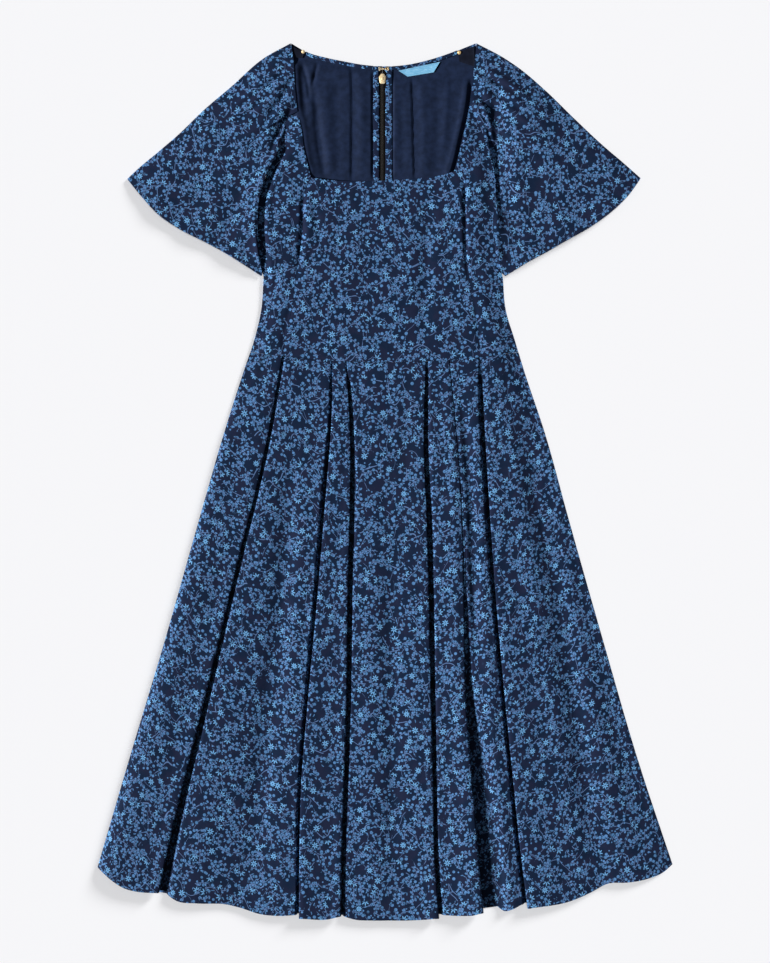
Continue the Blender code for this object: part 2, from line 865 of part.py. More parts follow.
def centre_back(side, start, end):
    """The centre back edge of one half, with its share of the slot for the slider and pull tab."""
    edge = [Corner(ZIP_ACROSS, start)]
    if start < SLOT_TOP:
        out = ZIP_ACROSS + side * SLOT_HALF_WIDTH
        edge += [Corner(ZIP_ACROSS, SLOT_TOP), Corner(out, SLOT_TOP)]
        edge += [Corner(out, SLOT_END), Corner(ZIP_ACROSS, SLOT_END)]
    return edge + [Corner(ZIP_ACROSS, end)]


def waist_corners(start, end, count):
    return [Corner(across, waist_down(across)) for across in np.linspace(start, end, count)]


def bodice_back(name, shoulder, back_corners, seam_line, side, shader):
    """A back bodice half: neck curve, centre back, waist, side seam and armhole."""
    armhole = Path(back_corners)
    outline = sampled_across(neck_back, shoulder, ZIP_ACROSS, 9)[:-1]
    outline += centre_back(side, neck_back.at(ZIP_ACROSS), waist_down(ZIP_ACROSS))
    outline += waist_corners(ZIP_ACROSS, seam_line.at(WAIST_SIDE_DOWN), 6)[1:]
    outline += sampled(seam_line, WAIST_SIDE_DOWN, ARMPIT_DOWN, 5)[1:]
    outline += [Corner(*armhole.at(share)) for share in BACK_SHARES]
    return flat_piece(name, inset(outline, GAP / 2), 0.0, BACK_CLOTH, shader)


def skirt_back(name, seam_line, side, shader):
    """A back skirt half."""
    hem = Line.across(SKIRT_BACK_HEM)
    corner = SKIRT_BACK_HEM[0] if side < 0 else SKIRT_BACK_HEM[-1]
    outline = waist_corners(ZIP_ACROSS, seam_line.at(WAIST_SIDE_DOWN), 6)
    outline += sampled(seam_line, WAIST_SIDE_DOWN, corner.down, 9)[1:-1]
    outline += sampled_across(hem, corner.across, ZIP_ACROSS, 9)
    return flat_piece(name, inset(outline, GAP / 2), 0.0, BACK_CLOTH, shader)


# Inside the neck

LINING_REACH = 8.0
LINING_BELOW = 14.0
LINING_CORNER_DOWN = 185.0
BAND_WIDTH = 5.0
BAND_OUTER_END_LEFT = -111.0
BAND_OUTER_END_RIGHT = 100.0
LABEL_CLOTH = 0.7
LABEL_OUTLINE = [
    Corner(18.3, 39),
    Corner(48, 33.2),
    Corner(76.3, 26.8),
    Corner(67.3, 41),
    Corner(31.1, 47),
]
KEEPER_LEFT = [
    Corner(-112.5, 13.5),
    Corner(-130.0, 4.5),
    Corner(-131.0, 31),
    Corner(-113.5, 27),
]
KEEPER_RIGHT = [
    Corner(101.5, 13.0),
    Corner(124.0, 4.5),
    Corner(126.0, 33),
    Corner(103.5, 28),
]
SNAP_LEFT = Corner(-117.0, 17.5)
SNAP_RIGHT = Corner(106.0, 16.5)
SNAP_RADIUS = 2.6
SNAP_HEIGHT = 1.4
SNAP_ROUNDING = 0.7
METAL_BASE = TRIM_BASE + TRIM_CLOTH + GAP


def lining_back(name, neck_edge, side, shader):
    """Plain lining of a back half, as far as it shows and a little under the front's neck edge."""
    tape_edge = ZIP_ACROSS + side * (TAPE_WIDTH + GAP)
    corner = neck_edge.at(LINING_CORNER_DOWN)
    outline = sampled_across(neck_back, neck_edge.at(8) - side * 7, tape_edge, 9, lowered=2.0)
    outline += sampled_across(neck_front, tape_edge, corner, 6, lowered=LINING_BELOW)
    for down in np.linspace(190, 14, 9):
        reach = blend(2.0, LINING_REACH, ease(down, 10, 60))
        outline.append(Corner(neck_edge.at(down) + side * reach, down))
    return flat_piece(name, outline, LINING_BASE, LINING_CLOTH, shader)


def neck_band(name, outer_end, side, shader):
    """The printed edge turned in along the back neck."""
    inner_end = ZIP_ACROSS + side * (TAPE_SHOWN + FACING_WIDTH + GAP)
    outline = sampled_across(neck_back, outer_end, inner_end, 9, lowered=GAP)
    outline += sampled_across(neck_back, inner_end, outer_end, 9, lowered=BAND_WIDTH)
    return flat_piece(name, outline, TRIM_BASE, TRIM_CLOTH, shader)


def zip_facing(name, side, shader):
    """Printed strip over one half of the zip tape, closed over the top of the zip."""
    outer = ZIP_ACROSS + side * (TAPE_SHOWN + FACING_WIDTH)
    inner = ZIP_ACROSS + side * TAPE_SHOWN
    parted = ZIP_ACROSS + side * SLIDER_ROOM
    closed = ZIP_ACROSS + side * GAP / 2
    outline = [
        Corner(outer, neck_back.at(outer) + GAP),
        Corner(closed, neck_back.at(closed) + GAP),
        Corner(closed, SLIDER_DOWN - 2.5),
        Corner(parted, SLIDER_DOWN - 2.0),
        Corner(parted, SLIDER_DOWN + SLIDER_LENGTH + 1.0),
        Corner(inner, SLIDER_DOWN + SLIDER_LENGTH + 7.0),
        Corner(inner, ZIP_FACING_END),
        Corner(outer, ZIP_FACING_END),
    ]
    return flat_piece(name, outline, TRIM_BASE, TRIM_CLOTH, shader)


def snap(name, place, shader):
    """A small domed snap."""
    bm = bmesh.new()
    radius = SNAP_RADIUS * MM
    made = bmesh.ops.create_cone(
        bm, cap_ends=True, segments=16, radius1=radius, radius2=radius, depth=SNAP_HEIGHT * MM
    )
    middle = world(place.across, place.down, METAL_BASE + SNAP_HEIGHT / 2)
    bmesh.ops.translate(bm, verts=made["verts"], vec=middle)
    upper = max(vert.co.z for vert in bm.verts)
    rim = [edge for edge in bm.edges if all(vert.co.z > upper - 1e-6 for vert in edge.verts)]
    bmesh.ops.bevel(bm, geom=rim, offset=SNAP_ROUNDING * MM, segments=2, profile=0.5, affect="EDGES")
    mesh = bpy.data.meshes.new(name)
    bm.to_mesh(mesh)
    bm.free()
    mesh.shade_smooth()
    mesh.set_sharp_from_angle(angle=math.radians(40))
    return add_object(name, mesh, shader)


# The zip

POST_HALF_WIDTH = 1.0
PLATE_HALF_WIDTH = 4.0
PIVOT_DOWN = 59.5
PIVOT_HEIGHT = 0.68
TAB_LENGTH = 20.0
TAB_HALF_WIDTH = 2.6
TAB_THICKNESS = 0.96
LUG_INNER = 2.9
SHIELD_THICKNESS = 1.5
PLATE_BASE = 0.1
PLATE_TO_PIVOT = 2.4
LUG_BEFORE_PIVOT = 3.2
LUG_PAST_PIVOT = 1.0
ROOT_RADIUS = 0.48
TRUNNION_RADIUS = 0.24
HOLE_RADIUS = 0.38
TAB_HALF = [
    Corner(TAB_HALF_WIDTH, 0.0),
    Corner(1.5, 5.0),
    Corner(2.6, TAB_LENGTH - 4),
    Corner(2.0, TAB_LENGTH - 1),
    Corner(0.8, TAB_LENGTH),
]
SHIELD = [
    Corner(-1.8, 0.0),
    Corner(1.8, 0.0),
    Corner(4.9, 4.2),
    Corner(4.9, 6.0),
    Corner(3.9, 12.6),
    Corner(2.6, SLIDER_LENGTH),
    Corner(-2.6, SLIDER_LENGTH),
    Corner(-3.9, 12.6),
    Corner(-4.9, 6.0),
    Corner(-4.9, 4.2),
]


def zip_tape(name, side, shader):
    """One half of the zip: a strip whose inner edge parts round the slider's post."""
    parted = ZIP_ACROSS + side * (POST_HALF_WIDTH + 0.4)
    closed = ZIP_ACROSS + side * GAP / 2
    outer = ZIP_ACROSS + side * TAPE_WIDTH
    outline = [
        Corner(outer, neck_back.at(outer) + 2.0),
        Corner(parted, neck_back.at(parted) + 2.0),
        Corner(parted, SLIDER_DOWN + 7.0),
        Corner(closed, SLIDER_DOWN + SLIDER_LENGTH),
        Corner(closed, ZIP_END_DOWN),
        Corner(outer, ZIP_END_DOWN),
    ]
    return flat_piece(name, outline, LINING_BASE, LINING_CLOTH, shader)


def block(name, across, down, height, shader):
    """A plain block, given by its two ends along each direction."""
    outline = [
        Corner(across[0], down[0]),
        Corner(across[1], down[0]),
        Corner(across[1], down[1]),
        Corner(across[0], down[1]),
    ]
    return flat_piece(name, outline, height[0], height[1] - height[0], shader)


def pin(name, radius, half_length, segments, shader):
    """A pin along the pull tab's pivot."""
    bm = bmesh.new()
    size = radius * MM
    turned = bmesh.ops.create_cone(
        bm, cap_ends=True, segments=segments, radius1=size, radius2=size, depth=2 * half_length * MM
    )
    for vert in turned["verts"]:
        vert.co = (vert.co.z, vert.co.y, vert.co.x)
    bmesh.ops.translate(bm, verts=turned["verts"], vec=world(ZIP_ACROSS, PIVOT_DOWN, PIVOT_HEIGHT))
    bmesh.ops.recalc_face_normals(bm, faces=bm.faces)
    mesh = bpy.data.meshes.new(name)
    bm.to_mesh(mesh)
    bm.free()
    return add_object(name, mesh, shader)


def as_tool(node):
    """Keep a shape as a guide for a Boolean only."""
    node.hide_render = True
    node.display_type = "WIRE"
    return node


def combine(node, tool, operation):
    modifier = node.modifiers.new(operation.lower(), "BOOLEAN")
    modifier.operation = operation
    modifier.solver = "EXACT"
    modifier.object = as_tool(tool)


def zip_slider(shader):
    """Inner plate, post and outer plate of the slider, with the lugs that carry the pull tab."""
    outline = [Corner(ZIP_ACROSS + c.across, SLIDER_DOWN + c.down) for c in SHIELD]
    slider = flat_piece("zip_slider", outline, TRIM_BASE, SHIELD_THICKNESS, shader)
    post_across = (ZIP_ACROSS - POST_HALF_WIDTH, ZIP_ACROSS + POST_HALF_WIDTH)
    post_down = (SLIDER_DOWN + 1.5, SLIDER_DOWN + 6.0)
    post = block("guide_post", post_across, post_down, (BACK_CLOTH - 0.2, TRIM_BASE + 0.5), shader)
    combine(slider, post, "UNION")
    plate_across = (ZIP_ACROSS - PLATE_HALF_WIDTH, ZIP_ACROSS + PLATE_HALF_WIDTH)
    plate_down = (SLIDER_DOWN + 0.5, PIVOT_DOWN - PLATE_TO_PIVOT)
    plate_height = (PLATE_BASE, BACK_CLOTH)
    combine(slider, block("guide_plate", plate_across, plate_down, plate_height, shader), "UNION")
    for side in (-1, 1):
        lug_across = sorted((ZIP_ACROSS + side * LUG_INNER, ZIP_ACROSS + side * PLATE_HALF_WIDTH))
        lug_down = (PIVOT_DOWN - LUG_BEFORE_PIVOT, PIVOT_DOWN + LUG_PAST_PIVOT)
        lug = block(f"guide_lug_{side}", lug_across, lug_down, plate_height, shader)
        combine(slider, lug, "UNION")
    hole = pin("guide_hole", HOLE_RADIUS, PLATE_HALF_WIDTH + 1.0, 16, shader)
    combine(slider, hole, "DIFFERENCE")


def zip_pull_tab(shader):
    """The pull tab on the outside of the back, flat in its slot, hung on the slider's lugs."""
    right_half = [Corner(c.across, PIVOT_DOWN + c.down) for c in TAB_HALF]
    left_half = [Corner(-c.across, c.down) for c in reversed(right_half)]
    outline = [Corner(ZIP_ACROSS + c.across, c.down) for c in right_half + left_half]
    tab = flat_piece("zip_pull_tab", outline, PIVOT_HEIGHT - TAB_THICKNESS / 2, TAB_THICKNESS, shader)
    combine(tab, pin("guide_root", ROOT_RADIUS, TAB_HALF_WIDTH, 16, shader), "UNION")
    trunnion = pin("guide_trunnion", TRUNNION_RADIUS, PLATE_HALF_WIDTH - PLATE_BASE, 12, shader)
    combine(tab, trunnion, "UNION")


# Hook and eye above the zip

HOOK_HEIGHT = 0.8
HOOK_OUTLINE = [
    Corner(-9.0, 34.6),
    Corner(-5.6, 34.9),
    Corner(-1.7, 35.4),
    Corner(-0.9, 36.4),
    Corner(-1.7, 37.4),
    Corner(-5.6, 37.9),
    Corner(-9.0, 38.2),
]
EYE_MIDDLE = Corner(1.5, 36.4)
EYE_RADIUS = 1.6
WIRE_RADIUS = 0.4
EYE_SEGMENTS = 16
WIRE_SIDES = 8


def hook_eye(shader):
    """The wire ring on the right facing."""
    bm = bmesh.new()
    rings = []
    for i in range(EYE_SEGMENTS):
        turn = 2 * math.pi * i / EYE_SEGMENTS
        ring = []
        for j in range(WIRE_SIDES):
            around = 2 * math.pi * j / WIRE_SIDES
            reach = EYE_RADIUS + WIRE_RADIUS * math.cos(around)
            across = EYE_MIDDLE.across + reach * math.cos(turn)
            down = EYE_MIDDLE.down + reach * math.sin(turn)
            height = METAL_BASE + WIRE_RADIUS * (1 + math.sin(around))
            ring.append(bm.verts.new(world(across, down, height)))
        rings.append(ring)
    for ring, following in zip(rings, rings[1:] + rings[:1]):
        for j in range(WIRE_SIDES):
            k = (j + 1) % WIRE_SIDES
            bm.faces.new((ring[j], ring[k], following[k], following[j]))
    bmesh.ops.recalc_face_normals(bm, faces=bm.faces)
    mesh = bpy.data.meshes.new("hook_eye")
    bm.to_mesh(mesh)
    bm.free()
    mesh.shade_smooth()
    add_object("hook_eye", mesh, shader)


def main():
    for item in list(bpy.data.objects):
        bpy.data.objects.remove(item, do_unlink=True)
    print_cloth = material("printed cotton", (0.045, 0.105, 0.26), 0.85)
    lining = material("navy lining", (0.018, 0.026, 0.07), 0.8)
    ribbon = material("dark ribbon", (0.012, 0.014, 0.03), 0.6)
    label = material("pale blue ribbon", (0.16, 0.42, 0.68), 0.5)
    tape = material("black zip tape", (0.008, 0.008, 0.01), 0.8)
    metal = material("pale gold", (0.72, 0.58, 0.36), 0.3, 1.0)

    left_corner = NECK_LEFT[-1].down
    right_corner = NECK_RIGHT[-1].down
    left_seam_top = ARMHOLE_LEFT[0].down
    right_seam_top = ARMHOLE_RIGHT[0].down
    left_downs = armhole_downs(STRAP_DOWNS_LEFT, left_corner, outer_left)
    right_downs = armhole_downs(STRAP_DOWNS_RIGHT, right_corner, outer_right)
    left_seam = armhole_corners(neck_left, armhole_left, left_seam_top, left_downs)
    right_seam = armhole_corners(neck_right, armhole_right, right_seam_top, right_downs)

    skirt_front(print_cloth)
    bodice_front_centre(print_cloth)
    bodice_front_side(
        "bodice_front_side_left",
        STRAP_DOWNS_LEFT,
        left_corner,
        outer_left,
        neck_left,
        bust_left,
        -1,
        print_cloth,
    )
    bodice_front_side(
        "bodice_front_side_right",
        STRAP_DOWNS_RIGHT,
        right_corner,
        outer_right,
        neck_right,
        bust_right,
        1,
        print_cloth,
    )
    sleeve(
        "sleeve_left",
        left_seam,
        BACK_ARMHOLE_LEFT,
        left_seam_top,
        SLEEVE_FOLD_LEFT,
        SLEEVE_HEM_LEFT,
        -1,
        print_cloth,
    )
    sleeve(
        "sleeve_right",
        right_seam,
        BACK_ARMHOLE_RIGHT,
        right_seam_top,
        SLEEVE_FOLD_RIGHT,
        SLEEVE_HEM_RIGHT,
        1,
        print_cloth,
    )
    bodice_back("bodice_back_left", neck_left.at(0), BACK_ARMHOLE_LEFT, left_side, -1, print_cloth)
    bodice_back("bodice_back_right", neck_right.at(0), BACK_ARMHOLE_RIGHT, right_side, 1, print_cloth)
    skirt_back("skirt_back_left", left_side, -1, print_cloth)
    skirt_back("skirt_back_right", right_side, 1, print_cloth)
    lining_back("lining_back_left", neck_left, -1, lining)
    lining_back("lining_back_right", neck_right, 1, lining)
    neck_band("neck_band_left", BAND_OUTER_END_LEFT, -1, print_cloth)
    neck_band("neck_band_right", BAND_OUTER_END_RIGHT, 1, print_cloth)
    zip_facing("zip_facing_left", -1, print_cloth)
    zip_facing("zip_facing_right", 1, print_cloth)
    flat_piece("neck_label", LABEL_OUTLINE, TRIM_BASE, LABEL_CLOTH, label)
    flat_piece("strap_keeper_left", KEEPER_LEFT, TRIM_BASE, TRIM_CLOTH, ribbon)
    flat_piece("strap_keeper_right", KEEPER_RIGHT, TRIM_BASE, TRIM_CLOTH, ribbon)
    snap("keeper_snap_left", SNAP_LEFT, metal)
    snap("keeper_snap_right", SNAP_RIGHT, metal)
    zip_tape("zip_tape_left", -1, tape)
    zip_tape("zip_tape_right", 1, tape)
    zip_slider(metal)
    zip_pull_tab(metal)
    flat_piece("hook", HOOK_OUTLINE, METAL_BASE, HOOK_HEIGHT, metal)
    hook_eye(metal)


main()
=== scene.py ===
"""Looks of the square neck midi dress: printed cotton, navy lining, zip and trims, laid flat on its back.

Tables and shapes are in millimetres: "across" from the dress's centre line, positive to the right as seen
from above, "down" from the shoulder points to the hem, and "height" above the floor. Shells and small
pieces are placed in metres.
"""
import json
import math
from collections import namedtuple

import bmesh
import bpy
import numpy as np
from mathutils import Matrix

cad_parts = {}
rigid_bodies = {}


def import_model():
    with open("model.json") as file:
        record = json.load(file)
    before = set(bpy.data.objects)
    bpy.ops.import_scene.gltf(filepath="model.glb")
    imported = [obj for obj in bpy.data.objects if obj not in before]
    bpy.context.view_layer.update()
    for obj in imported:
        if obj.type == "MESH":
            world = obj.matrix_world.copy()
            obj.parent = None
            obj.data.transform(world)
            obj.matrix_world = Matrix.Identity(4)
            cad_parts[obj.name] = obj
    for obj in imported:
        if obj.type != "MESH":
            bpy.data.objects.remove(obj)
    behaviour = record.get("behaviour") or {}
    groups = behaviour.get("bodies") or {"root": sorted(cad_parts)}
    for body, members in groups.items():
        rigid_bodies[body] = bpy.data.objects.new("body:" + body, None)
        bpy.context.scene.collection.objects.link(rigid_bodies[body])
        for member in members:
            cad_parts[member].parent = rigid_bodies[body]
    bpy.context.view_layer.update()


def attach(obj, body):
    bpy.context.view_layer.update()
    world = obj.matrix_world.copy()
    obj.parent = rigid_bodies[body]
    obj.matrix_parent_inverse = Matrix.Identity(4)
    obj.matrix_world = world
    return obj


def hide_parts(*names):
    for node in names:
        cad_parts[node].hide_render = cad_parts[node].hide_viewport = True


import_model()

MM = 0.001
HALF_LENGTH = 614.0

# Heights of the layers, as the solids have them
BACK_TOP = 1.2
LOW = 2.0
MIDDLE = 3.5
TOP = 5.0
CLOTH = 0.7
NECK_HEIGHT = 6.4
ARMHOLE_HEIGHT = 3.6
TRIM_BASE = 2.8
LINING_BASE = 1.5
METAL_BASE = 4.1
WAIST_SIDE_DOWN = 433.0
WAIST_CENTRE_DOWN = 447.0
WAIST_HALF_WIDTH = 185.0
ARMPIT_DOWN = 328.0
ZIP_ACROSS = -4.2
SEAM_GAP = 0.2


def smooth(value, start, end):
    """0 at start, 1 at end, smooth between."""
    t = np.clip((np.asarray(value, float) - start) / (end - start), 0.0, 1.0)
    return t * t * (3 - 2 * t)


def blend(a, b, share):
    return a + (b - a) * share


class Line:
    """A smooth line through (key, value) rows, straight on past its ends."""

    def __init__(self, *rows):
        self.keys = np.array([row[0] for row in rows], float)
        self.values = np.array([row[1] for row in rows], float)
        self.slopes = np.gradient(self.values, self.keys)

    def __call__(self, key):
        key = np.asarray(key, float)
        i = np.clip(np.searchsorted(self.keys, key, side="right") - 1, 0, len(self.keys) - 2)
        span = self.keys[i + 1] - self.keys[i]
        t = np.clip((key - self.keys[i]) / span, 0.0, 1.0)
        value = blend(self.values[i], self.values[i + 1], t * t * (3 - 2 * t))
        value = value + self.slopes[i] * span * t * (1 - t) ** 2
        value = value + self.slopes[i + 1] * span * (t - 1) * t**2
        past = key - np.clip(key, self.keys[0], self.keys[-1])
        return value + past * np.where(past < 0, self.slopes[0], self.slopes[-1])


class Path:
    """A smooth plan curve through (across, down) corners, read by its share of the length."""

    def __init__(self, *corners):
        steps = np.linalg.norm(np.diff(np.array(corners, float), axis=0), axis=1)
        shares = np.concatenate([[0.0], np.cumsum(steps)]) / steps.sum()
        self.length = steps.sum()
        self.across = Line(*[(share, corner[0]) for share, corner in zip(shares, corners)])
        self.down = Line(*[(share, corner[1]) for share, corner in zip(shares, corners)])

    def __call__(self, share):
        return np.stack([self.across(share), self.down(share)], axis=-1)


# Outlines, as rows of down and across
left_side = Line(
    (328, -170.8), (374, -174.3), (416, -184.1), (458, -198.1), (542, -224.7), (668, -261.1),
    (836, -308.7), (1004, -359.1), (1152, -402.5),
)
right_side = Line(
    (328, 164.5), (374, 168.7), (416, 181.3), (458, 193.9), (542, 221.9), (668, 256.9),
    (836, 304.5), (1004, 353.5), (1152, 402.5),
)
armhole_left = Line(
    (97, -123.5), (101, -133.0), (120, -140.7), (150, -149.1), (181, -164.5), (216, -175.7),
    (255, -178.5), (298, -175.7), (328, -170.8),
)
armhole_right = Line(
    (91, 117.5), (111, 129.5), (146, 140.7), (178, 150.5), (206, 153.3), (241, 150.0),
    (273, 150.5), (305, 156.1), (328, 164.5),
)
neck_left = Line(
    (0, -132.3), (24, -128.1), (46, -127.4), (73, -125.3), (97, -122.5), (118, -118.3),
    (148, -114.1), (172, -108.5), (189, -104.3),
)
neck_right = Line((0, 126.7), (17, 125.3), (56, 121.1), (91, 116.9), (137, 107.1), (160, 101.5), (180, 95.9))
bust_left = Line(
    (189, -104.3), (211, -114.1), (242, -115.5), (277, -118.3), (311, -123.9), (360, -129.5), (433, -143.5)
)
bust_right = Line(
    (180, 95.9), (192, 107.5), (220, 110.6), (260, 112.1), (294, 112.7), (314, 115.5), (367, 122.5),
    (433, 133.7),
)

# Outlines, as rows of across and down
neck_front = Line(
    (-104.3, 189), (-69, 193), (-30, 194), (8, 192), (37, 190), (64, 187), (85, 183), (95.9, 180)
)
neck_back = Line(
    (-132.0, 0), (-119.7, 7), (-108.5, 13), (-84.7, 20), (-60.9, 25), (-25.9, 31), (-2.1, 32.5),
    (28.7, 30.5), (60.9, 23.5), (87.5, 15), (105.7, 8), (126.4, 0),
)


def waist_down(across):
    """The waist seam: a shallow curve, lowest at the centre."""
    rise = np.minimum(1.0, (np.asarray(across, float) / WAIST_HALF_WIDTH) ** 2)
    return blend(WAIST_CENTRE_DOWN, WAIST_SIDE_DOWN, rise)


def waist_crossing(across_at):
    """How far down a line meets the waist seam; the line gives across from down."""
    down = WAIST_CENTRE_DOWN
    for _ in range(5):
        down = waist_down(across_at(down))
    return down


def world(points):
    """Points given as across, down, height in millimetres, in metres."""
    points = np.asarray(points, float)
    return np.stack([points[..., 0], HALF_LENGTH - points[..., 1], points[..., 2]], axis=-1) * MM


# Creases of the cloth: soft troughs (negative) and ridges, each along its own line
Crease = namedtuple("Crease", "corners height half_width")

BODICE_CREASES = [
    Crease([(-106, 192), (-114, 215), (-116, 250), (-119, 290), (-126, 335)], -2.6, 3.6),
    Crease([(-110, 200), (-107, 240), (-111, 285), (-118, 325)], 1.2, 5.0),
    Crease([(-101, 222), (-95, 255), (-88, 296)], -1.2, 5.0),
    Crease([(-104, 226), (-114, 268), (-128, 330), (-133, 372)], -0.9, 6.0),
    Crease([(-153, 318), (-155, 346)], -1.6, 4.0),
    Crease([(-131, 360), (-141, 405), (-144, 440)], -1.4, 4.5),
    Crease([(98, 184), (108, 194), (111, 230), (112, 275), (114, 312), (119, 345)], -2.6, 3.0),
    Crease([(103, 200), (104, 250), (106, 300)], 0.9, 5.0),
    Crease([(124, 360), (131, 410), (134, 440)], -1.2, 4.5),
    Crease([(52, 205), (60, 235), (58, 290), (55, 350), (56, 440)], -1.7, 9.0),
    Crease([(34, 240), (33, 300), (38, 370)], 0.8, 12.0),
    Crease([(-60, 215), (-66, 260), (-62, 320)], -0.7, 12.0),
    Crease([(-20, 230), (-28, 300), (-24, 380)], -0.6, 14.0),
    Crease([(78, 300), (100, 318), (128, 330), (150, 348)], -0.8, 8.0),
    Crease([(84, 360), (112, 372), (150, 376)], -0.6, 7.0),
    Crease([(-160, 372), (-130, 382), (-96, 388)], -0.7, 7.0),
    Crease([(-165, 400), (-120, 412), (-80, 414)], -0.5, 6.0),
    Crease([(-60, 400), (-10, 412), (40, 408)], -0.5, 8.0),
    Crease([(-168, 352), (-150, 372), (-140, 398)], -0.6, 5.0),
    Crease([(152, 322), (146, 350), (150, 390)], -0.8, 6.0),
    Crease([(-148, 178), (-158, 225), (-160, 285)], -1.0, 5.0),
    Crease([(-136, 150), (-134, 200), (-138, 260)], 0.7, 7.0),
    Crease([(128, 150), (133, 200), (134, 262)], 0.6, 7.0),
    Crease([(-40, 199), (-38, 216), (-30, 234)], -0.5, 6.0),
    Crease([(20, 198), (22, 218), (14, 240)], -0.5, 6.0),
]
SKIRT_CREASES = [
    Crease([(-126, 560), (-134, 640), (-144, 780), (-159, 920), (-173, 1032), (-184, 1150), (-188, 1215)], -3.4, 15.0),
    Crease([(190, 500), (206, 584), (226, 682), (244, 780), (261, 892), (277, 990), (290, 1102), (303, 1170)], -3.8, 13.0),
    Crease([(15, 680), (8, 850), (12, 948), (9, 1150), (8, 1230)], -1.8, 10.0),
    Crease([(102, 470), (112, 530), (119, 610), (123, 700), (125, 790), (128, 900)], -3.0, 8.0),
    Crease([(-22, 560), (-20, 760), (-24, 1000), (-26, 1230)], 0.8, 12.0),
    Crease([(36, 600), (38, 800), (42, 1010), (44, 1228)], 0.7, 10.0),
    Crease([(-190, 600), (-232, 760), (-275, 930), (-318, 1100), (-340, 1178)], -0.9, 12.0),
    Crease([(-215, 620), (-266, 800), (-320, 990), (-362, 1150)], 0.8, 14.0),
    Crease([(-158, 480), (-184, 600), (-214, 740)], 0.6, 9.0),
    Crease([(-112, 470), (-118, 600), (-128, 760), (-140, 960)], 0.9, 12.0),
    Crease([(-100, 600), (-106, 760), (-118, 900)], -0.7, 8.0),
    Crease([(160, 470), (182, 600), (205, 760), (226, 900)], 0.9, 12.0),
    Crease([(196, 620), (222, 800), (250, 1000), (262, 1150)], 0.8, 13.0),
    Crease([(240, 600), (286, 780), (330, 960), (362, 1120)], -1.0, 12.0),
    Crease([(90, 460), (94, 520), (100, 600)], -0.6, 8.0),
    Crease([(72, 470), (80, 560), (84, 680)], -0.7, 7.0),
    Crease([(-30, 460), (-34, 520), (-30, 600)], -0.6, 7.0),
    Crease([(30, 458), (26, 520), (28, 620)], -0.6, 7.0),
    Crease([(0, 456), (2, 500), (-2, 560)], -0.5, 6.0),
    Crease([(-66, 470), (-65, 540), (-68, 640)], 0.5, 7.0),
    Crease([(110, 470), (118, 560), (124, 680)], 0.5, 7.0),
    Crease([(-250, 700), (-236, 745), (-240, 800)], -0.5, 9.0),
    Crease([(300, 900), (318, 960), (322, 1030)], -0.6, 10.0),
]
SLEEVE_CREASES_LEFT = [
    Crease([(-129, 22), (-150, 46), (-178, 74)], -1.8, 3.6),
    Crease([(-128, 38), (-152, 66), (-184, 104)], 1.6, 5.0),
    Crease([(-128, 52), (-150, 84), (-176, 122)], -2.4, 3.6),
    Crease([(-127, 66), (-150, 104), (-180, 158)], 1.8, 6.0),
    Crease([(-128, 86), (-140, 108), (-156, 142), (-166, 172)], -2.2, 3.2),
    Crease([(-126, 92), (-148, 138), (-172, 196), (-184, 250)], 2.0, 6.0),
    Crease([(-128, 98), (-138, 118), (-146, 138), (-152, 152)], -2.6, 2.8),
    Crease([(-168, 196), (-184, 226), (-206, 262)], -1.0, 6.0),
    Crease([(-186, 232), (-198, 268), (-212, 296)], 1.2, 7.0),
    Crease([(-190, 90), (-236, 140), (-290, 206), (-310, 238)], -0.8, 12.0),
    Crease([(-178, 120), (-222, 180), (-262, 258)], 1.2, 13.0),
    Crease([(-176, 160), (-206, 222), (-232, 284)], -0.9, 10.0),
    Crease([(-220, 80), (-270, 132), (-328, 196)], 0.7, 12.0),
]
SLEEVE_CREASES_RIGHT = [
    Crease([(146, 52), (152, 100), (158, 160), (163, 230), (172, 290)], -2.6, 7.0),
    Crease([(124, 24), (142, 44), (168, 68)], -1.8, 3.6),
    Crease([(122, 42), (146, 70), (176, 100)], 1.6, 5.0),
    Crease([(121, 56), (142, 88), (164, 128)], -2.4, 3.6),
    Crease([(118, 72), (136, 104), (150, 150)], 1.6, 5.0),
    Crease([(124, 74), (140, 112), (150, 150), (154, 186)], -3.0, 2.8),
    Crease([(150, 120), (156, 160), (158, 200), (162, 244)], -2.0, 3.4),
    Crease([(152, 40), (160, 100), (166, 170), (173, 240), (188, 300)], -5.4, 11.0),
    Crease([(184, 80), (214, 140), (246, 214), (262, 262)], 1.2, 14.0),
    Crease([(156, 262), (166, 290), (178, 312)], -1.0, 6.0),
    Crease([(164, 180), (170, 240), (184, 292)], 1.1, 7.0),
    Crease([(220, 90), (266, 150), (306, 222)], -0.8, 12.0),
    Crease([(250, 104), (292, 150), (336, 202)], 0.6, 12.0),
]
LINING_CREASES = [
    Crease([(-117, 22), (-116, 60), (-112, 110)], -1.5, 4.6),
    Crease([(-108, 30), (-104, 62), (-100, 120)], 1.1, 5.0),
    Crease([(-106, 50), (-99, 84), (-95, 122), (-90, 155), (-84, 204)], -2.6, 5.6),
    Crease([(-84, 50), (-82, 120), (-74, 205)], 0.9, 7.0),
    Crease([(-70, 40), (-68, 110), (-66, 205)], -0.7, 6.0),
    Crease([(-118, 26), (-111, 46), (-106, 84)], -1.9, 2.6),
    Crease([(-94, 24), (-99, 44), (-105, 68)], -1.9, 2.4),
    Crease([(-34, 44), (-32, 110), (-34, 205)], 0.8, 6.0),
    Crease([(22, 60), (23, 120), (25, 205)], -0.6, 5.0),
    Crease([(52, 48), (54, 110), (56, 205)], 0.8, 7.0),
    Crease([(72, 44), (73, 110), (70, 205)], -0.9, 6.0),
    Crease([(86, 40), (86, 90), (80, 150)], 0.7, 4.0),
]
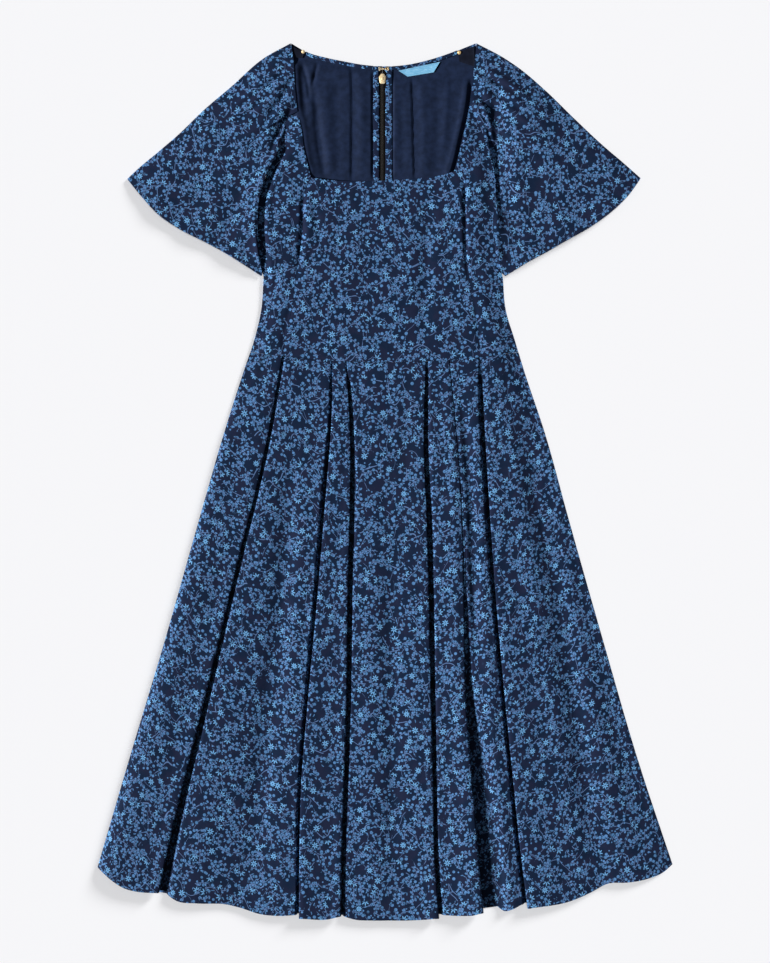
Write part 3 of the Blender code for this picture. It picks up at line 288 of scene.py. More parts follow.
BACK_CREASES = [
    Crease([(-60, 120), (-64, 220), (-58, 330)], 0.5, 12.0),
    Crease([(70, 110), (66, 230), (74, 350)], 0.5, 12.0),
    Crease([(-110, 460), (-150, 640), (-200, 900), (-230, 1140)], 0.7, 14.0),
    Crease([(-70, 470), (-86, 700), (-110, 1000), (-116, 1190)], 0.6, 12.0),
    Crease([(110, 460), (152, 660), (196, 900), (232, 1130)], 0.7, 14.0),
    Crease([(60, 470), (80, 700), (100, 1000), (110, 1190)], 0.6, 12.0),
    Crease([(-180, 560), (-240, 800), (-310, 1100)], 0.6, 12.0),
    Crease([(180, 560), (244, 800), (312, 1100)], 0.6, 12.0),
]


def relief(across, down, creases):
    """Height that the creases add at each place."""
    total = np.zeros(np.broadcast(across, down).shape)
    across, down = np.broadcast_arrays(across, down)
    for crease in creases:
        path = Path(*crease.corners)
        steps = max(8, int(path.length / 12))
        line = path(np.linspace(0.0, 1.0, steps + 1))
        reach = 3.0 * crease.half_width
        low, high = line.min(axis=0) - reach, line.max(axis=0) + reach
        near = (across > low[0]) & (across < high[0]) & (down > low[1]) & (down < high[1])
        if not near.any():
            continue
        point = np.stack([across[near], down[near]], axis=-1)
        nearest = np.full(len(point), 1e9)
        along = np.zeros(len(point))
        for k in range(steps):
            run = line[k + 1] - line[k]
            t = np.clip(((point - line[k]) @ run) / (run @ run), 0.0, 1.0)
            gap = np.linalg.norm(point - line[k] - t[:, None] * run, axis=1)
            closer = gap < nearest
            nearest = np.where(closer, gap, nearest)
            along = np.where(closer, (k + t) / steps, along)
        fade = smooth(along, 0.0, 0.22) * (1 - smooth(along, 0.7, 1.0))
        total[near] += crease.height * fade * np.exp(-((nearest / crease.half_width) ** 2))
    return total


def rise_and_fall(across, down, amount, size, turn=0.0):
    """Slight unevenness of lying cloth, the same each run."""
    a = across * math.cos(turn) + down * math.sin(turn)
    b = down * math.cos(turn) - across * math.sin(turn)
    waves = np.sin(a / size + 0.7 * np.sin(b / (1.7 * size) + 1.3)) * np.sin(b / (2.3 * size) + 0.4 * np.sin(a / size))
    waves = waves + 0.5 * np.sin(a / (0.57 * size) + b / (1.3 * size) + 2.1)
    return amount * waves


# Sheets of cloth


def shell(name, middle, cloth_map, thickness, materials, floor=None, painted_groove_shade=None):
    """A closed thin shell about a grid of middle points, with a map of the flat cloth in metres.

    Painted groove shade gives each point its share of painted shade, by how deep in a narrow groove it lies, from 0 to
    1.
    """
    middle = np.asarray(middle, float)
    rows, columns = middle.shape[:2]
    normal = np.cross(np.gradient(middle, axis=1), np.gradient(middle, axis=0))
    normal /= np.maximum(np.linalg.norm(normal, axis=2, keepdims=True), 1e-9)
    turn = np.sign(normal[:, :1, 2:3])
    normal *= np.where(turn == 0, 1.0, turn)
    upper = middle + normal * thickness / 2
    lower = middle - normal * thickness / 2
    if floor is not None:
        upper[..., 2] = np.maximum(upper[..., 2], floor)
        lower[..., 2] = np.maximum(lower[..., 2], floor)
    points = world(np.concatenate([upper.reshape(-1, 3), lower.reshape(-1, 3)]))
    index = np.arange(rows * columns).reshape(rows, columns)
    a, b, c, d = index[:-1, :-1], index[1:, :-1], index[1:, 1:], index[:-1, 1:]
    top = np.stack([a, b, c, d], axis=-1).reshape(-1, 4)
    bottom = np.stack([a, d, c, b], axis=-1).reshape(-1, 4) + rows * columns
    rim = np.concatenate([index[:-1, 0], index[-1, :-1], index[:0:-1, -1], index[0, :0:-1]])
    following = np.roll(rim, -1)
    sides = np.stack([following, rim, rim + rows * columns, following + rows * columns], axis=-1)
    faces = np.concatenate([top, bottom, sides])
    mesh = bpy.data.meshes.new(name)
    mesh.vertices.add(len(points))
    mesh.vertices.foreach_set("co", points.astype(np.float32).ravel())
    mesh.loops.add(faces.size)
    mesh.loops.foreach_set("vertex_index", faces.astype(np.int32).ravel())
    mesh.polygons.add(len(faces))
    mesh.polygons.foreach_set("loop_start", np.arange(0, faces.size, 4, dtype=np.int32))
    mesh.update(calc_edges=True)
    flat = np.asarray(cloth_map, float).reshape(-1, 2)
    flat = np.concatenate([flat, flat])
    layer = mesh.uv_layers.new(name="cloth")
    layer.data.foreach_set("uv", flat[faces.ravel()].astype(np.float32).ravel())
    bm = bmesh.new()
    bm.from_mesh(mesh)
    bmesh.ops.recalc_face_normals(bm, faces=bm.faces)
    bm.to_mesh(mesh)
    bm.free()
    mesh.validate()
    mesh.shade_smooth()
    mesh.set_sharp_from_angle(angle=math.radians(55))
    for material in materials:
        mesh.materials.append(material)
    if painted_groove_shade is not None:
        layer = mesh.attributes.new("painted_groove_shade", "FLOAT", "POINT")
        layer.data.foreach_set("value", np.tile(painted_groove_shade.ravel(), 2).astype(np.float32))
    piece = bpy.data.objects.new(name, mesh)
    bpy.context.collection.objects.link(piece)
    return piece


def arc_map(middle, zero_column, offset=(0.0, 0.0)):
    """A cloth map that follows the sheet: run along each row from one column, and distance down."""
    steps = np.linalg.norm(np.diff(middle, axis=1), axis=2)
    run = np.concatenate([np.zeros((len(middle), 1)), np.cumsum(steps, axis=1)], axis=1)
    start = middle[:, zero_column, 0] - run[:, zero_column]
    along = run + start[:, None]
    return np.stack([along * MM + offset[0], -middle[..., 1] * MM + offset[1]], axis=-1)


def plan_map(middle, offset=(0.0, 0.0), turn=0.0):
    """A cloth map straight from above."""
    across, down = middle[..., 0], middle[..., 1]
    a = across * math.cos(turn) - down * math.sin(turn)
    b = across * math.sin(turn) + down * math.cos(turn)
    return np.stack([a * MM + offset[0], -b * MM + offset[1]], axis=-1)


def dress(piece, slot_name, *nodes):
    """Let a piece ride on the dress and stand for its solids."""
    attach(piece, "dress")
    if nodes:
        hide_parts(*nodes)
    return piece


def outer_left(down):
    return np.where(np.asarray(down) < ARMPIT_DOWN, armhole_left(down), left_side(down))


def outer_right(down):
    return np.where(np.asarray(down) < ARMPIT_DOWN, armhole_right(down), right_side(down))


def bodice_height(across, down):
    """Height of the middle of the front bodice: crowned, low at the outer seams, creased."""
    across, down = np.broadcast_arrays(np.asarray(across, float), np.asarray(down, float))
    crown = blend(NECK_HEIGHT, TOP + 0.8, smooth(down, 200, 400))
    edge = blend(ARMHOLE_HEIGHT, LOW, smooth(down, 300, 350))
    from_left = across - outer_left(down)
    inward = np.minimum(from_left, outer_right(down) - across)
    height = blend(edge, crown, smooth(inward, -2, 28))
    deep = smooth(down, 142, 176) * (1 - smooth(down, 318, 340))
    valley = blend(LOW, crown + 0.6, smooth(from_left, 5.5, 15.0))
    height = np.where(from_left < 28, blend(height, valley, deep * (1 - smooth(from_left, 18, 28))), height)
    height = height + relief(across, down, BODICE_CREASES)
    height = height + rise_and_fall(across, down, 0.28, 17.0, 0.3) * smooth(inward, 6, 40)
    seam = np.abs(down - waist_down(across))
    return np.maximum(height - 1.0 * np.exp(-((seam / 2.4) ** 2)), LOW)


# Front skirt: pressed folds, the groove that shows beside each one, and the stretches between them

Fold = namedtuple("Fold", "line over depth_waist depth_hem lift hem_over hem_under opening groove")

fold_a = Line((433, -143.5), (570, -168.7), (738, -209.3), (941, -258.3), (1116, -301.7), (1190, -317.1))
fold_b = Line(
    (447, -74.0), (528, -75.5), (626, -83.0), (766, -94.5), (920, -108.5), (1032, -117.6), (1130, -120.4),
    (1222, -121.1),
)
fold_c = Line(
    (447, -55.3), (542, -49.7), (654, -49.7), (766, -52.5), (892, -53.9), (1004, -56.7), (1130, -60.9),
    (1224, -62.3),
)
fold_d = Line(
    (435, 56.7), (570, 53.9), (668, 58.1), (780, 60.9), (906, 63.7), (1032, 66.5), (1144, 69.3),
    (1224, 74.9),
)
fold_e = Line(
    (441, 88.9), (528, 97.3), (612, 104.3), (794, 109.9), (920, 112.7), (1060, 123.9), (1165, 132.3),
    (1217, 137.2),
)
fold_f = Line(
    (430, 133.7), (570, 140.7), (682, 147.7), (780, 154.7), (920, 167.3), (1032, 178.5), (1116, 186.9),
    (1207, 198.1),
)
# Opening, from 0 where the fold is still closed flat to 1, and width of the groove, both by distance down
FOLDS = [
    Fold(
        fold_a, "left", 8, 22, 5.4, 1189, 1184,
        Line((430, 0.3), (447, 0.7), (470, 1.0), (1228, 1.0)),
        Line((430, 2.5), (466, 3.6), (530, 4.2), (590, 4.6), (700, 5.0), (920, 6.8), (1046, 9.6), (1190, 14.0)),
    ),
    Fold(
        fold_b, "right", 5, 18, 5.2, 1225, 1219,
        Line((430, 0.1), (480, 0.3), (530, 0.8), (580, 1.0), (1228, 1.0)),
        Line((430, 2.5), (530, 3.0), (620, 5.0), (760, 4.4), (900, 3.6), (1228, 3.0)),
    ),
    Fold(
        fold_c, "left", 5, 18, 5.6, 1222, 1221,
        Line((430, 0.0), (462, 0.1), (480, 0.95), (520, 1.0), (1228, 1.0)),
        Line((430, 3.0), (480, 5.0), (560, 6.4), (780, 6.6), (920, 5.6), (1060, 4.6), (1228, 4.0)),
    ),
    Fold(
        fold_d, "left", 8, 20, 5.2, 1225, 1220,
        Line((430, 0.2), (445, 0.5), (475, 1.0), (1228, 1.0)),
        Line((430, 2.5), (480, 5.0), (560, 7.0), (640, 8.2), (760, 7.6), (900, 6.0), (1030, 4.6), (1228, 4.0)),
    ),
    Fold(
        fold_e, "left", 8, 24, 8.0, 1217, 1208,
        Line((430, 0.0), (600, 0.05), (720, 0.25), (860, 0.6), (980, 1.0), (1228, 1.0)),
        Line((430, 3.0), (780, 5.0), (920, 13.0), (1004, 23.0), (1088, 32.0), (1158, 35.0), (1217, 28.0)),
    ),
    Fold(
        fold_f, "right", 8, 20, 5.2, 1211, 1204,
        Line((430, 0.1), (452, 0.4), (490, 1.0), (1228, 1.0)),
        Line((430, 2.5), (490, 5.0), (660, 5.6), (800, 4.4), (1228, 3.6)),
    ),
]
# Height of the cloth at the hem across each stretch between two folds, and where its hem runs,
# as rows of share across the stretch and value
STRETCH_HEIGHTS = [
    Line((0, 2.4), (0.05, 3.4), (0.16, 5.8), (0.32, 8.2), (0.50, 9.6), (0.68, 10.0), (0.84, 10.0), (0.94, 10.2), (1, 10.4)),
    Line((0, 5.8), (0.12, 6.6), (0.22, 7.4), (0.36, 6.6), (0.50, 5.2), (0.62, 4.4), (0.74, 5.4), (0.88, 7.2), (1, 7.6)),
    Line((0, 10.2), (0.12, 9.6), (0.4, 9.2), (0.7, 9.0), (0.88, 9.4), (1, 10.6)),
    Line((0, 6.2), (0.10, 6.0), (0.24, 6.4), (0.38, 7.2), (0.52, 6.6), (0.66, 6.8), (0.82, 7.2), (0.93, 8.9), (1, 10.2)),
    Line((0, 6.6), (0.12, 6.8), (0.30, 7.4), (0.50, 8.6), (0.66, 10.4), (0.80, 12.0), (0.92, 13.0), (1, 13.0)),
    Line((0, 3.4), (0.34, 4.2), (0.48, 6.2), (0.60, 8.4), (0.72, 8.6), (0.86, 7.6), (1, 7.4)),
    Line((0, 10.2), (0.10, 9.2), (0.22, 7.6), (0.36, 6.8), (0.50, 5.0), (0.62, 6.2), (0.74, 6.2), (0.86, 4.4), (1, 2.4)),
]
STRETCH_HEMS = [
    Line((0, 1154), (0.10, 1160), (0.28, 1171), (0.50, 1182), (0.74, 1187.5), (1, 1189)),
    Line((0, 1185), (0.06, 1193), (0.12, 1200), (0.28, 1204), (0.48, 1205.5), (0.60, 1211), (0.73, 1219),
         (0.86, 1221.5), (1, 1220)),
    Line((0, 1225), (0.25, 1226), (0.75, 1226), (1, 1223)),
    Line((0, 1222), (0.14, 1227), (0.32, 1228), (0.50, 1228), (0.68, 1228), (0.90, 1226.5), (1, 1225)),
    Line((0, 1220), (0.30, 1221), (0.60, 1221), (0.85, 1220), (1, 1217.5)),
    Line((0, 1208), (0.30, 1208), (0.42, 1214), (0.68, 1212), (0.90, 1206), (1, 1204)),
    Line((0, 1210), (0.06, 1208.5), (0.24, 1202), (0.40, 1189), (0.53, 1176.5), (0.66, 1175), (0.80, 1170),
         (0.92, 1161), (1, 1150)),
]
SKIRT_ROW_COUNT = 124
FOLD_REACH = 6.0
FOLD_FOOT = 2.4
TURN_STEPS = 7
SPREAD_POWER = 0.75
CLOSED_HEIGHT = 7.4
CLOSED_REACH = 34.0
SIDE_ROLL = 3.6
# Distances of the columns from a fold, in the groove beside it and on the cloth that lies over
GROOVE_COLUMNS = (0.5, 1.3, 2.3, 3.5, 4.9, 6.5, 8.4, 10.6, 13.2, 16.2, 19.8, 24.0)
EDGE_COLUMNS = (1.4, 4.4, 8.4)
COLUMN_PITCH = 5.2


def skirt_rows():
    """Shares from waist to hem, a little closer at both ends."""
    t = np.linspace(0.0, 1.0, SKIRT_ROW_COUNT)
    return t - 0.03 * np.sin(2 * np.pi * t)


def column(across_at, hem, rows):
    """Across and down of one column of the skirt, from the waist seam to the hem."""
    start = waist_crossing(across_at) + SEAM_GAP
    down = blend(start, float(hem), rows)
    return across_at(down), down


def waist_height(across):
    """Height of the bodice just above the waist seam."""
    return float(bodice_height(np.array([across]), np.array([float(waist_down(across)) - 12]))[0])


def fold_columns(fold, rows):
    """One pressed fold: over its visible edge, back beneath, and out again at its foot."""
    side = 1 if fold.over == "left" else -1
    at_waist = waist_height(float(fold.line(WAIST_CENTRE_DOWN)))
    open_down = np.clip(fold.opening(blend(WAIST_CENTRE_DOWN, 1220, rows)), 0.0, 1.0)
    spread = rows**SPREAD_POWER
    top = blend(at_waist, blend(CLOSED_HEIGHT, TOP + fold.lift, open_down), spread)
    columns = []

    def add(offset_at, height_at, hem):
        across, down = column(lambda d: fold.line(d) - side * offset_at(d), hem, rows)
        opening = np.clip(fold.opening(down), 0.0, 1.0)
        columns.append(np.stack([across, down, height_at(opening)], axis=-1))

    def depth(down):
        return blend(fold.depth_waist, fold.depth_hem, smooth(down, WAIST_CENTRE_DOWN, 1228))

    def edge_radius(down):
        return blend(0.8, 1.1 + 0.3 * fold.lift, smooth(down, WAIST_CENTRE_DOWN, WAIST_CENTRE_DOWN + 470))

    def middle_height(opening):
        return blend(top - 1.2, MIDDLE + 0.25 * fold.lift, opening)

    def low_height(opening):
        return blend(top - 2.0, LOW, opening)

    for degrees in np.linspace(90, -90, TURN_STEPS):
        sine, cosine = math.sin(math.radians(degrees)), math.cos(math.radians(degrees))
        add(
            lambda d: 0.4 + 0.55 * edge_radius(d) * (1 - cosine),
            lambda opening: blend(middle_height(opening), top, (1 + sine) / 2),
            fold.hem_over - 0.6 * (sine < 0),
        )
    inner_hem = min(fold.hem_over, fold.hem_under) - 1
    for degrees in np.linspace(90, -90, 5):
        sine, cosine = math.sin(math.radians(degrees)), math.cos(math.radians(degrees))
        add(
            lambda d: depth(d) + 0.8 * cosine,
            lambda opening: blend(low_height(opening), middle_height(opening), (1 + sine) / 2),
            inner_hem,
        )
    add(lambda d: blend(-FOLD_FOOT, depth(d), 0.4), low_height, blend(fold.hem_under, inner_hem, 0.4))
    add(lambda d: -FOLD_FOOT, lambda opening: blend(top - 0.2, LOW, opening), fold.hem_under)
    return columns if side == 1 else columns[::-1]


def stretch_columns(number, left, right, left_fold, right_fold, rows):
    """One stretch of the front skirt between two folds or side seams, with its waves and creases."""
    heights, hems = STRETCH_HEIGHTS[number], STRETCH_HEMS[number]
    grooves = [
        fold
        for fold, over in ((left_fold, "left"), (right_fold, "right"))
        if fold is not None and fold.over == over
    ]
    width = float(right(1000.0) - left(1000.0))
    near_left = GROOVE_COLUMNS if left_fold in grooves else EDGE_COLUMNS
    near_right = GROOVE_COLUMNS if right_fold in grooves else EDGE_COLUMNS
    between = np.arange(near_left[-1] + COLUMN_PITCH, width - near_right[-1] - 0.6 * COLUMN_PITCH, COLUMN_PITCH)
    distances = np.concatenate([near_left, between, width - np.array(near_right[::-1])])
    columns = []
    spread = rows**SPREAD_POWER
    for share in distances / width:
        across, down = column(lambda d: blend(left(d), right(d), share), hems(share), rows)
        height = blend(waist_height(float(across[0])), float(heights(share)), spread)
        for fold in (left_fold, right_fold):
            if fold is not None:
                closed = 1 - np.clip(fold.opening(down), 0.0, 1.0)
                near = 1 - smooth(np.abs(across - fold.line(down)), 2.0, CLOSED_REACH)
                height = blend(height, CLOSED_HEIGHT, closed * near * spread)
        if left_fold is None:
            inward = share * width
            side_roll = SIDE_ROLL * float(smooth(inward, -1.0, 7.0) * (1 - smooth(inward, 9.0, 46.0)))
            height = height + side_roll * smooth(down, WAIST_SIDE_DOWN + 20, WAIST_SIDE_DOWN + 130)
        margin = smooth(min(share, 1 - share) * width, 0.0, 14.0)
        height = height + margin * relief(across, down, SKIRT_CREASES)
        height = height + margin * rise_and_fall(across, down, 0.30, 19.0, 0.15)
        height = height - 1.0 * np.exp(-(((down - down[0]) / 2.6) ** 2))
        for fold in grooves:
            reach = fold.groove(down)
            closeness = 1 - smooth(np.abs(across - fold.line(down)) / reach, 0.75, 1.0 + 2.2 / reach)
            height = blend(height, LOW, closeness * np.clip(fold.opening(down), 0.0, 1.0))
        columns.append(np.stack([across, down, np.maximum(height, LOW)], axis=-1))
    return columns


def groove_shade_mask(middle):
    """Share of painted shade for the print: 1 deep in the narrow grooves beside the folds, where little light comes,
    and 0 elsewhere.
    """
    across, down, height = middle[..., 0], middle[..., 1], middle[..., 2]
    shade_share = np.zeros(across.shape)
    for fold in FOLDS:
        side = 1 if fold.over == "left" else -1
        out = side * (across - fold.line(down))
        reach = fold.groove(down)
        inside = (1 - smooth(out, 0.5 * reach, reach + 1.6)) * smooth(out, -34.0, -30.0)
        inside = inside * blend(1.0, 0.35, smooth(reach, 11.0, 24.0))
        shade_share = np.maximum(shade_share, inside * np.clip(fold.opening(down), 0.0, 1.0))
    return shade_share * (1 - smooth(height, 2.8, 6.4))


def skirt_front(material):
    rows = skirt_rows()
    columns = []
    edge_left = column(left_side, 1154, rows)
    columns.append(np.stack([*edge_left, np.full(len(rows), LOW)], axis=-1))

    def beside(fold, hand):
        """Where a stretch ends beside a fold: close to it in a groove, further off on the cloth over it."""
        over_here = (fold.over == "left") == (hand < 0)
        if over_here:
            return lambda d: fold.line(d) + hand * FOLD_REACH * (0.5 + 0.5 * smooth(d, 450, 700))
        return lambda d: fold.line(d) + hand * FOLD_FOOT

    for number in range(len(STRETCH_HEIGHTS)):
        left_fold = FOLDS[number - 1] if number > 0 else None
        right_fold = FOLDS[number] if number < len(FOLDS) else None
        left = beside(left_fold, 1) if left_fold else left_side
        right = beside(right_fold, -1) if right_fold else right_side
        columns += stretch_columns(number, left, right, left_fold, right_fold, rows)
        if right_fold:
            columns += fold_columns(right_fold, rows)
    edge_right = column(right_side, 1150, rows)
    columns.append(np.stack([*edge_right, np.full(len(rows), LOW)], axis=-1))
    middle = np.stack(columns, axis=1)
    centre = int(np.argmin(np.abs(middle[-1, :, 0] - 10.0)))
    cloth_map = arc_map(middle, centre)
    # The share of painted shade in the grooves beside the folds goes with the sheet as an attribute.
    piece = shell("skirt_front_cloth", middle, cloth_map, CLOTH, [material], painted_groove_shade=groove_shade_mask(middle))
    dress(piece, "printed_cotton", "skirt_front")


# Front bodice


def uneven(count, power=1.0):
    """Shares from 0 to 1, closer together near both ends."""
    t = np.linspace(0.0, 1.0, count)
    return t - power * np.sin(2 * np.pi * t) / (2 * np.pi) * 0.6


def bodice_centre(material):
    columns = []
    rows = uneven(96)
    for share in uneven(104):
        neck = float(neck_front(blend(-104.3, 95.9, share)))
        waist = waist_crossing(lambda at: blend(bust_left(at), bust_right(at), share)) - SEAM_GAP
        down = blend(neck, waist, rows)
        across = blend(bust_left(down) + SEAM_GAP, bust_right(down) - SEAM_GAP, share)
        height = bodice_height(across, down)
        height = height + 0.45 * np.exp(-(((down - neck - 3.2) / 2.2) ** 2))
        columns.append(np.stack([across, down, height], axis=-1))
    middle = np.stack(columns, axis=1)
    cloth_map = plan_map(middle, (0.31, 0.17))
    piece = shell("bodice_front_centre_cloth", middle, cloth_map, CLOTH, [material])
    dress(piece, "printed_cotton", "bodice_front_centre")
    return middle


STRAP_RISE = 5.5
TUCK = 0.9


def bodice_side(name, side, top_down, corner_down, outer, neck_edge, bust, offset, material):
    """A side panel with its strap: beside the neck opening, then down to the waist."""
    rows = []
    shares = uneven(44)
    for row in np.linspace(0.0, 1.0, 46)[:-1]:
        down_row = blend(top_down - STRAP_RISE * shares, corner_down, row)
        edge = outer(np.maximum(down_row, top_down)) + side * TUCK
        across = blend(edge, neck_edge(down_row), shares)
        rows.append((across, down_row))
    for row in uneven(88):
        across_row, down_row = [], []
        for share in shares:
            waist = waist_crossing(lambda at: blend(outer(at), bust(at), share)) - SEAM_GAP
            down = blend(corner_down, waist, row)
            edge = float(outer(down)) + side * blend(TUCK, -SEAM_GAP, float(smooth(down, ARMPIT_DOWN - 20, ARMPIT_DOWN - 4)))
            across_row.append(blend(edge, float(bust(down)) + side * SEAM_GAP, share))
            down_row.append(down)
        rows.append((np.array(across_row, float), np.array(down_row, float)))
    across = np.stack([row[0] for row in rows])
    down = np.stack([row[1] for row in rows])
    height = bodice_height(across, down)
    rolled = np.abs(across - neck_edge(down))
    height = height + 0.45 * np.exp(-(((rolled - 3.2) / 2.2) ** 2)) * (1 - smooth(down, corner_down - 6, corner_down))
    height = height - 1.3 * (1 - smooth(down, top_down - STRAP_RISE, top_down + 5))
    middle = np.stack([across, down, height], axis=-1)
    cloth_map = plan_map(middle, offset)
    piece = shell(f"{name}_cloth", middle, cloth_map, CLOTH, [material])
    dress(piece, "printed_cotton", name)
    return middle


# Sleeves


class Chain:
    """Straight runs between corners, read by share of the length, drawn a little to one side."""

    def __init__(self, corners, aside):
        points = np.array(corners, float)
        steps = np.linalg.norm(np.diff(points, axis=0), axis=1)
        self.length = steps.sum()
        self.shares = np.concatenate([[0.0], np.cumsum(steps)]) / self.length
        along = np.gradient(points, axis=0)
        along /= np.linalg.norm(along, axis=1, keepdims=True)
        self.points = points + aside * np.stack([along[:, 1], -along[:, 0]], axis=1)

    def __call__(self, share):
        return np.stack([np.interp(share, self.shares, self.points[:, k]) for k in (0, 1)], axis=-1)


SLEEVE_FOLD_LEFT = Path(
    (-132.3, 0), (-170.1, 21), (-214.9, 60), (-252.7, 92), (-289.1, 127), (-317.1, 151), (-349.3, 178),
    (-361.9, 190),
)
SLEEVE_HEM_LEFT = Path(
    (-361.9, 190), (-342.3, 214), (-317.1, 241), (-289.1, 260), (-249.9, 280), (-219.1, 297),
    (-192.5, 314), (-174.0, 326),
)
SLEEVE_FOLD_RIGHT = Path(
    (126.7, 0), (164.5, 20), (186.9, 35), (224.7, 67), (263.9, 105), (304.5, 143), (333.9, 168), (357.7, 189)
)
SLEEVE_HEM_RIGHT = Path(
    (357.7, 189), (339.5, 214), (321.3, 232), (289.1, 256), (254.1, 276), (224.7, 293), (202.3, 305),
    (168.0, 326),
)
BACK_ARMHOLE_LEFT = Path((-132.3, 0), (-141, 60), (-157, 130), (-170, 200), (-175, 260), (-171.5, 322))
BACK_ARMHOLE_RIGHT = Path((126.7, 0), (134, 60), (146, 130), (151, 200), (153, 260), (163.5, 322))
SLEEVE_ROWS = 92
FRONT_COLUMNS = 150
BACK_COLUMNS = 24
GATHER_END = 0.40
SLEEVE_CLOTH = 0.8
HEM_DEPTH = 12.0


def sleeve(name, side, neck_edge, armhole, seam_top, back_seam, fold, hem, creases, offset, material):
    """One sheet folded over along its top: a back layer on the floor and a gathered front layer."""
    downs = np.concatenate([np.linspace(0, seam_top, 40), np.linspace(seam_top + 4, ARMPIT_DOWN - 6, 90)])
    edge = np.where(downs <= seam_top, neck_edge(downs), armhole(downs))
    seam = Chain(np.stack([edge, downs], axis=-1), side * 0.5)
    rows = uneven(SLEEVE_ROWS, 0.9)

    def plan(line, share):
        """Plan places down one column: share runs from the top fold to the underarm."""
        start, end, tip = line(0.0), line(1.0), hem(1.0)
        top = fold(rows) + (start - fold(0.0)) * (1 - rows)[:, None]
        under = blend(end, tip, rows[:, None])
        by_rows = blend(top, under, share)
        by_shares = blend(line(share), hem(share), rows[:, None])
        corners = blend(blend(start, hem(0.0), rows[:, None]), blend(end, tip, rows[:, None]), share)
        return by_rows + by_shares - corners

    def front_height(share, place):
        """Height of the middle of the front layer down one column."""
        standing = smooth(share * seam.length, seam_top + 30, seam_top + 75) * (1 - smooth(share, 0.90, 0.99))
        joined = NECK_HEIGHT if share * seam.length <= seam_top else float(bodice_height(*place[0])) + 0.9
        crown = blend(joined, 6.6, smooth(rows, 0.0, 0.16))
        crown = blend(crown, 9.0, standing * (1 - smooth(rows, 0.02, 0.34)))
        puff = 1.8 * smooth(rows, 0.0, 0.10) * (1 - smooth(rows, 0.22, 0.6))
        gathers = 0.9 * np.cos(2 * np.pi * (7.3 * share / GATHER_END + 0.5 * np.sin(9.0 * share)))
        gathers *= 1 - smooth(share, GATHER_END * 0.8, GATHER_END * 1.1)
        gathers = gathers * smooth(rows, 0.0, 0.05) * (1 - smooth(rows, 0.18, 0.55))
        flutes = 0.9 * np.cos(2 * np.pi * (3.4 * share + 0.35 * share * share) + 0.6) * smooth(rows, 0.35, 1.0)
        height = crown + puff + gathers + flutes
        height = height + relief(place[:, 0], place[:, 1], creases)
        height = height + rise_and_fall(place[:, 0], place[:, 1], 0.22, 14.0, 0.8 * side)
        closed = blend(4.6, 3.0, smooth(rows, 0.0, 0.5))
        height = blend(closed, height, smooth(share, 0.0, 0.13))
        height = blend(height, closed - 0.2, smooth(share, 0.90, 1.0))
        return np.maximum(height, BACK_TOP + 0.9)

    columns, stretch = [], []
    for share in np.linspace(1.0, 0.03, BACK_COLUMNS):
        back_line = Chain(back_seam(np.linspace(0, 1, 60)), side * 0.5)
        place = plan(back_line, share)
        columns.append(np.column_stack([place, np.full(len(rows), SLEEVE_CLOTH / 2)]))
        stretch.append(-1.0)
    closed = blend(4.6, 3.0, smooth(rows, 0.0, 0.5))
    for degrees in np.linspace(-78, 78, 9):
        turn = math.radians(degrees)
        radius = (closed - SLEEVE_CLOTH / 2) / 2
        height = SLEEVE_CLOTH / 2 + radius * (1 + math.sin(turn))
        reach = 0.6 + radius * (1 - math.cos(turn))
        run = blend(seam.length, hem.length, rows)
        start, end, tip = seam(0.0), seam(1.0), hem(1.0)
        top = fold(rows) + (start - fold(0.0)) * (1 - rows)[:, None]
        inward = (blend(end, tip, rows[:, None]) - top) / run[:, None]
        place = top + inward * reach[:, None]
        columns.append(np.column_stack([place, height]))
        stretch.append(0.0)
    for share in np.linspace(0.012, 1.0, FRONT_COLUMNS):
        place = plan(seam, share)
        columns.append(np.column_stack([place, front_height(share, place)]))
        stretch.append(1.0)
    middle = np.stack(columns, axis=1)
    low, high = fold(0.0), fold(1.0)
    direction = (high - low) / np.linalg.norm(high - low)
    square = np.array([-direction[1], direction[0]]) * (-side)
    along = (middle[..., :2] - low) @ direction
    away = (middle[..., :2] - low) @ square
    fold_line = fold(np.linspace(0, 1, 60))
    bulge = np.interp(along, (fold_line - low) @ direction, (fold_line - low) @ square)
    signed = (away - bulge) * np.where(np.array(stretch) < 0, -1.0, 1.0)[None, :]
    cloth_map = np.stack([along * MM + offset[0], signed * MM * -side + offset[1]], axis=-1)
    piece = shell(f"{name}_cloth", middle, cloth_map, SLEEVE_CLOTH, [material], floor=0.0)
    dress(piece, "printed_cotton", name)
    return middle


# Back of the dress, which lies on the floor

BACK_CLOTH = 0.8
SLOT_HALF_WIDTH = 5.4
SLOT_TOP = 41.0
SLOT_END = 82.0
skirt_back_hem = Line(
    (-397, 1150), (-360, 1177), (-300, 1190), (-200, 1207), (-100, 1217), (ZIP_ACROSS, 1221), (100, 1215),
    (200, 1200), (300, 1172), (360, 1163), (397, 1147),
)


def centre_edge(side, down):
    """The centre back edge, opened for the slider and the pull tab."""
    slot = smooth(down, SLOT_TOP - 1.5, SLOT_TOP) * (1 - smooth(down, SLOT_END, SLOT_END + 1.5))
    return ZIP_ACROSS + side * (SEAM_GAP + SLOT_HALF_WIDTH * slot)


def back_shell(name, across, down, offset, material):
    lift = np.maximum(relief(across, down, BACK_CREASES), 0.0)
    middle = np.stack([across, down, BACK_CLOTH / 2 + lift], axis=-1)
    cloth_map = plan_map(middle, offset)
    piece = shell(f"{name}_cloth", middle, cloth_map, BACK_CLOTH, [material], floor=0.0)
    dress(piece, "printed_cotton", name)


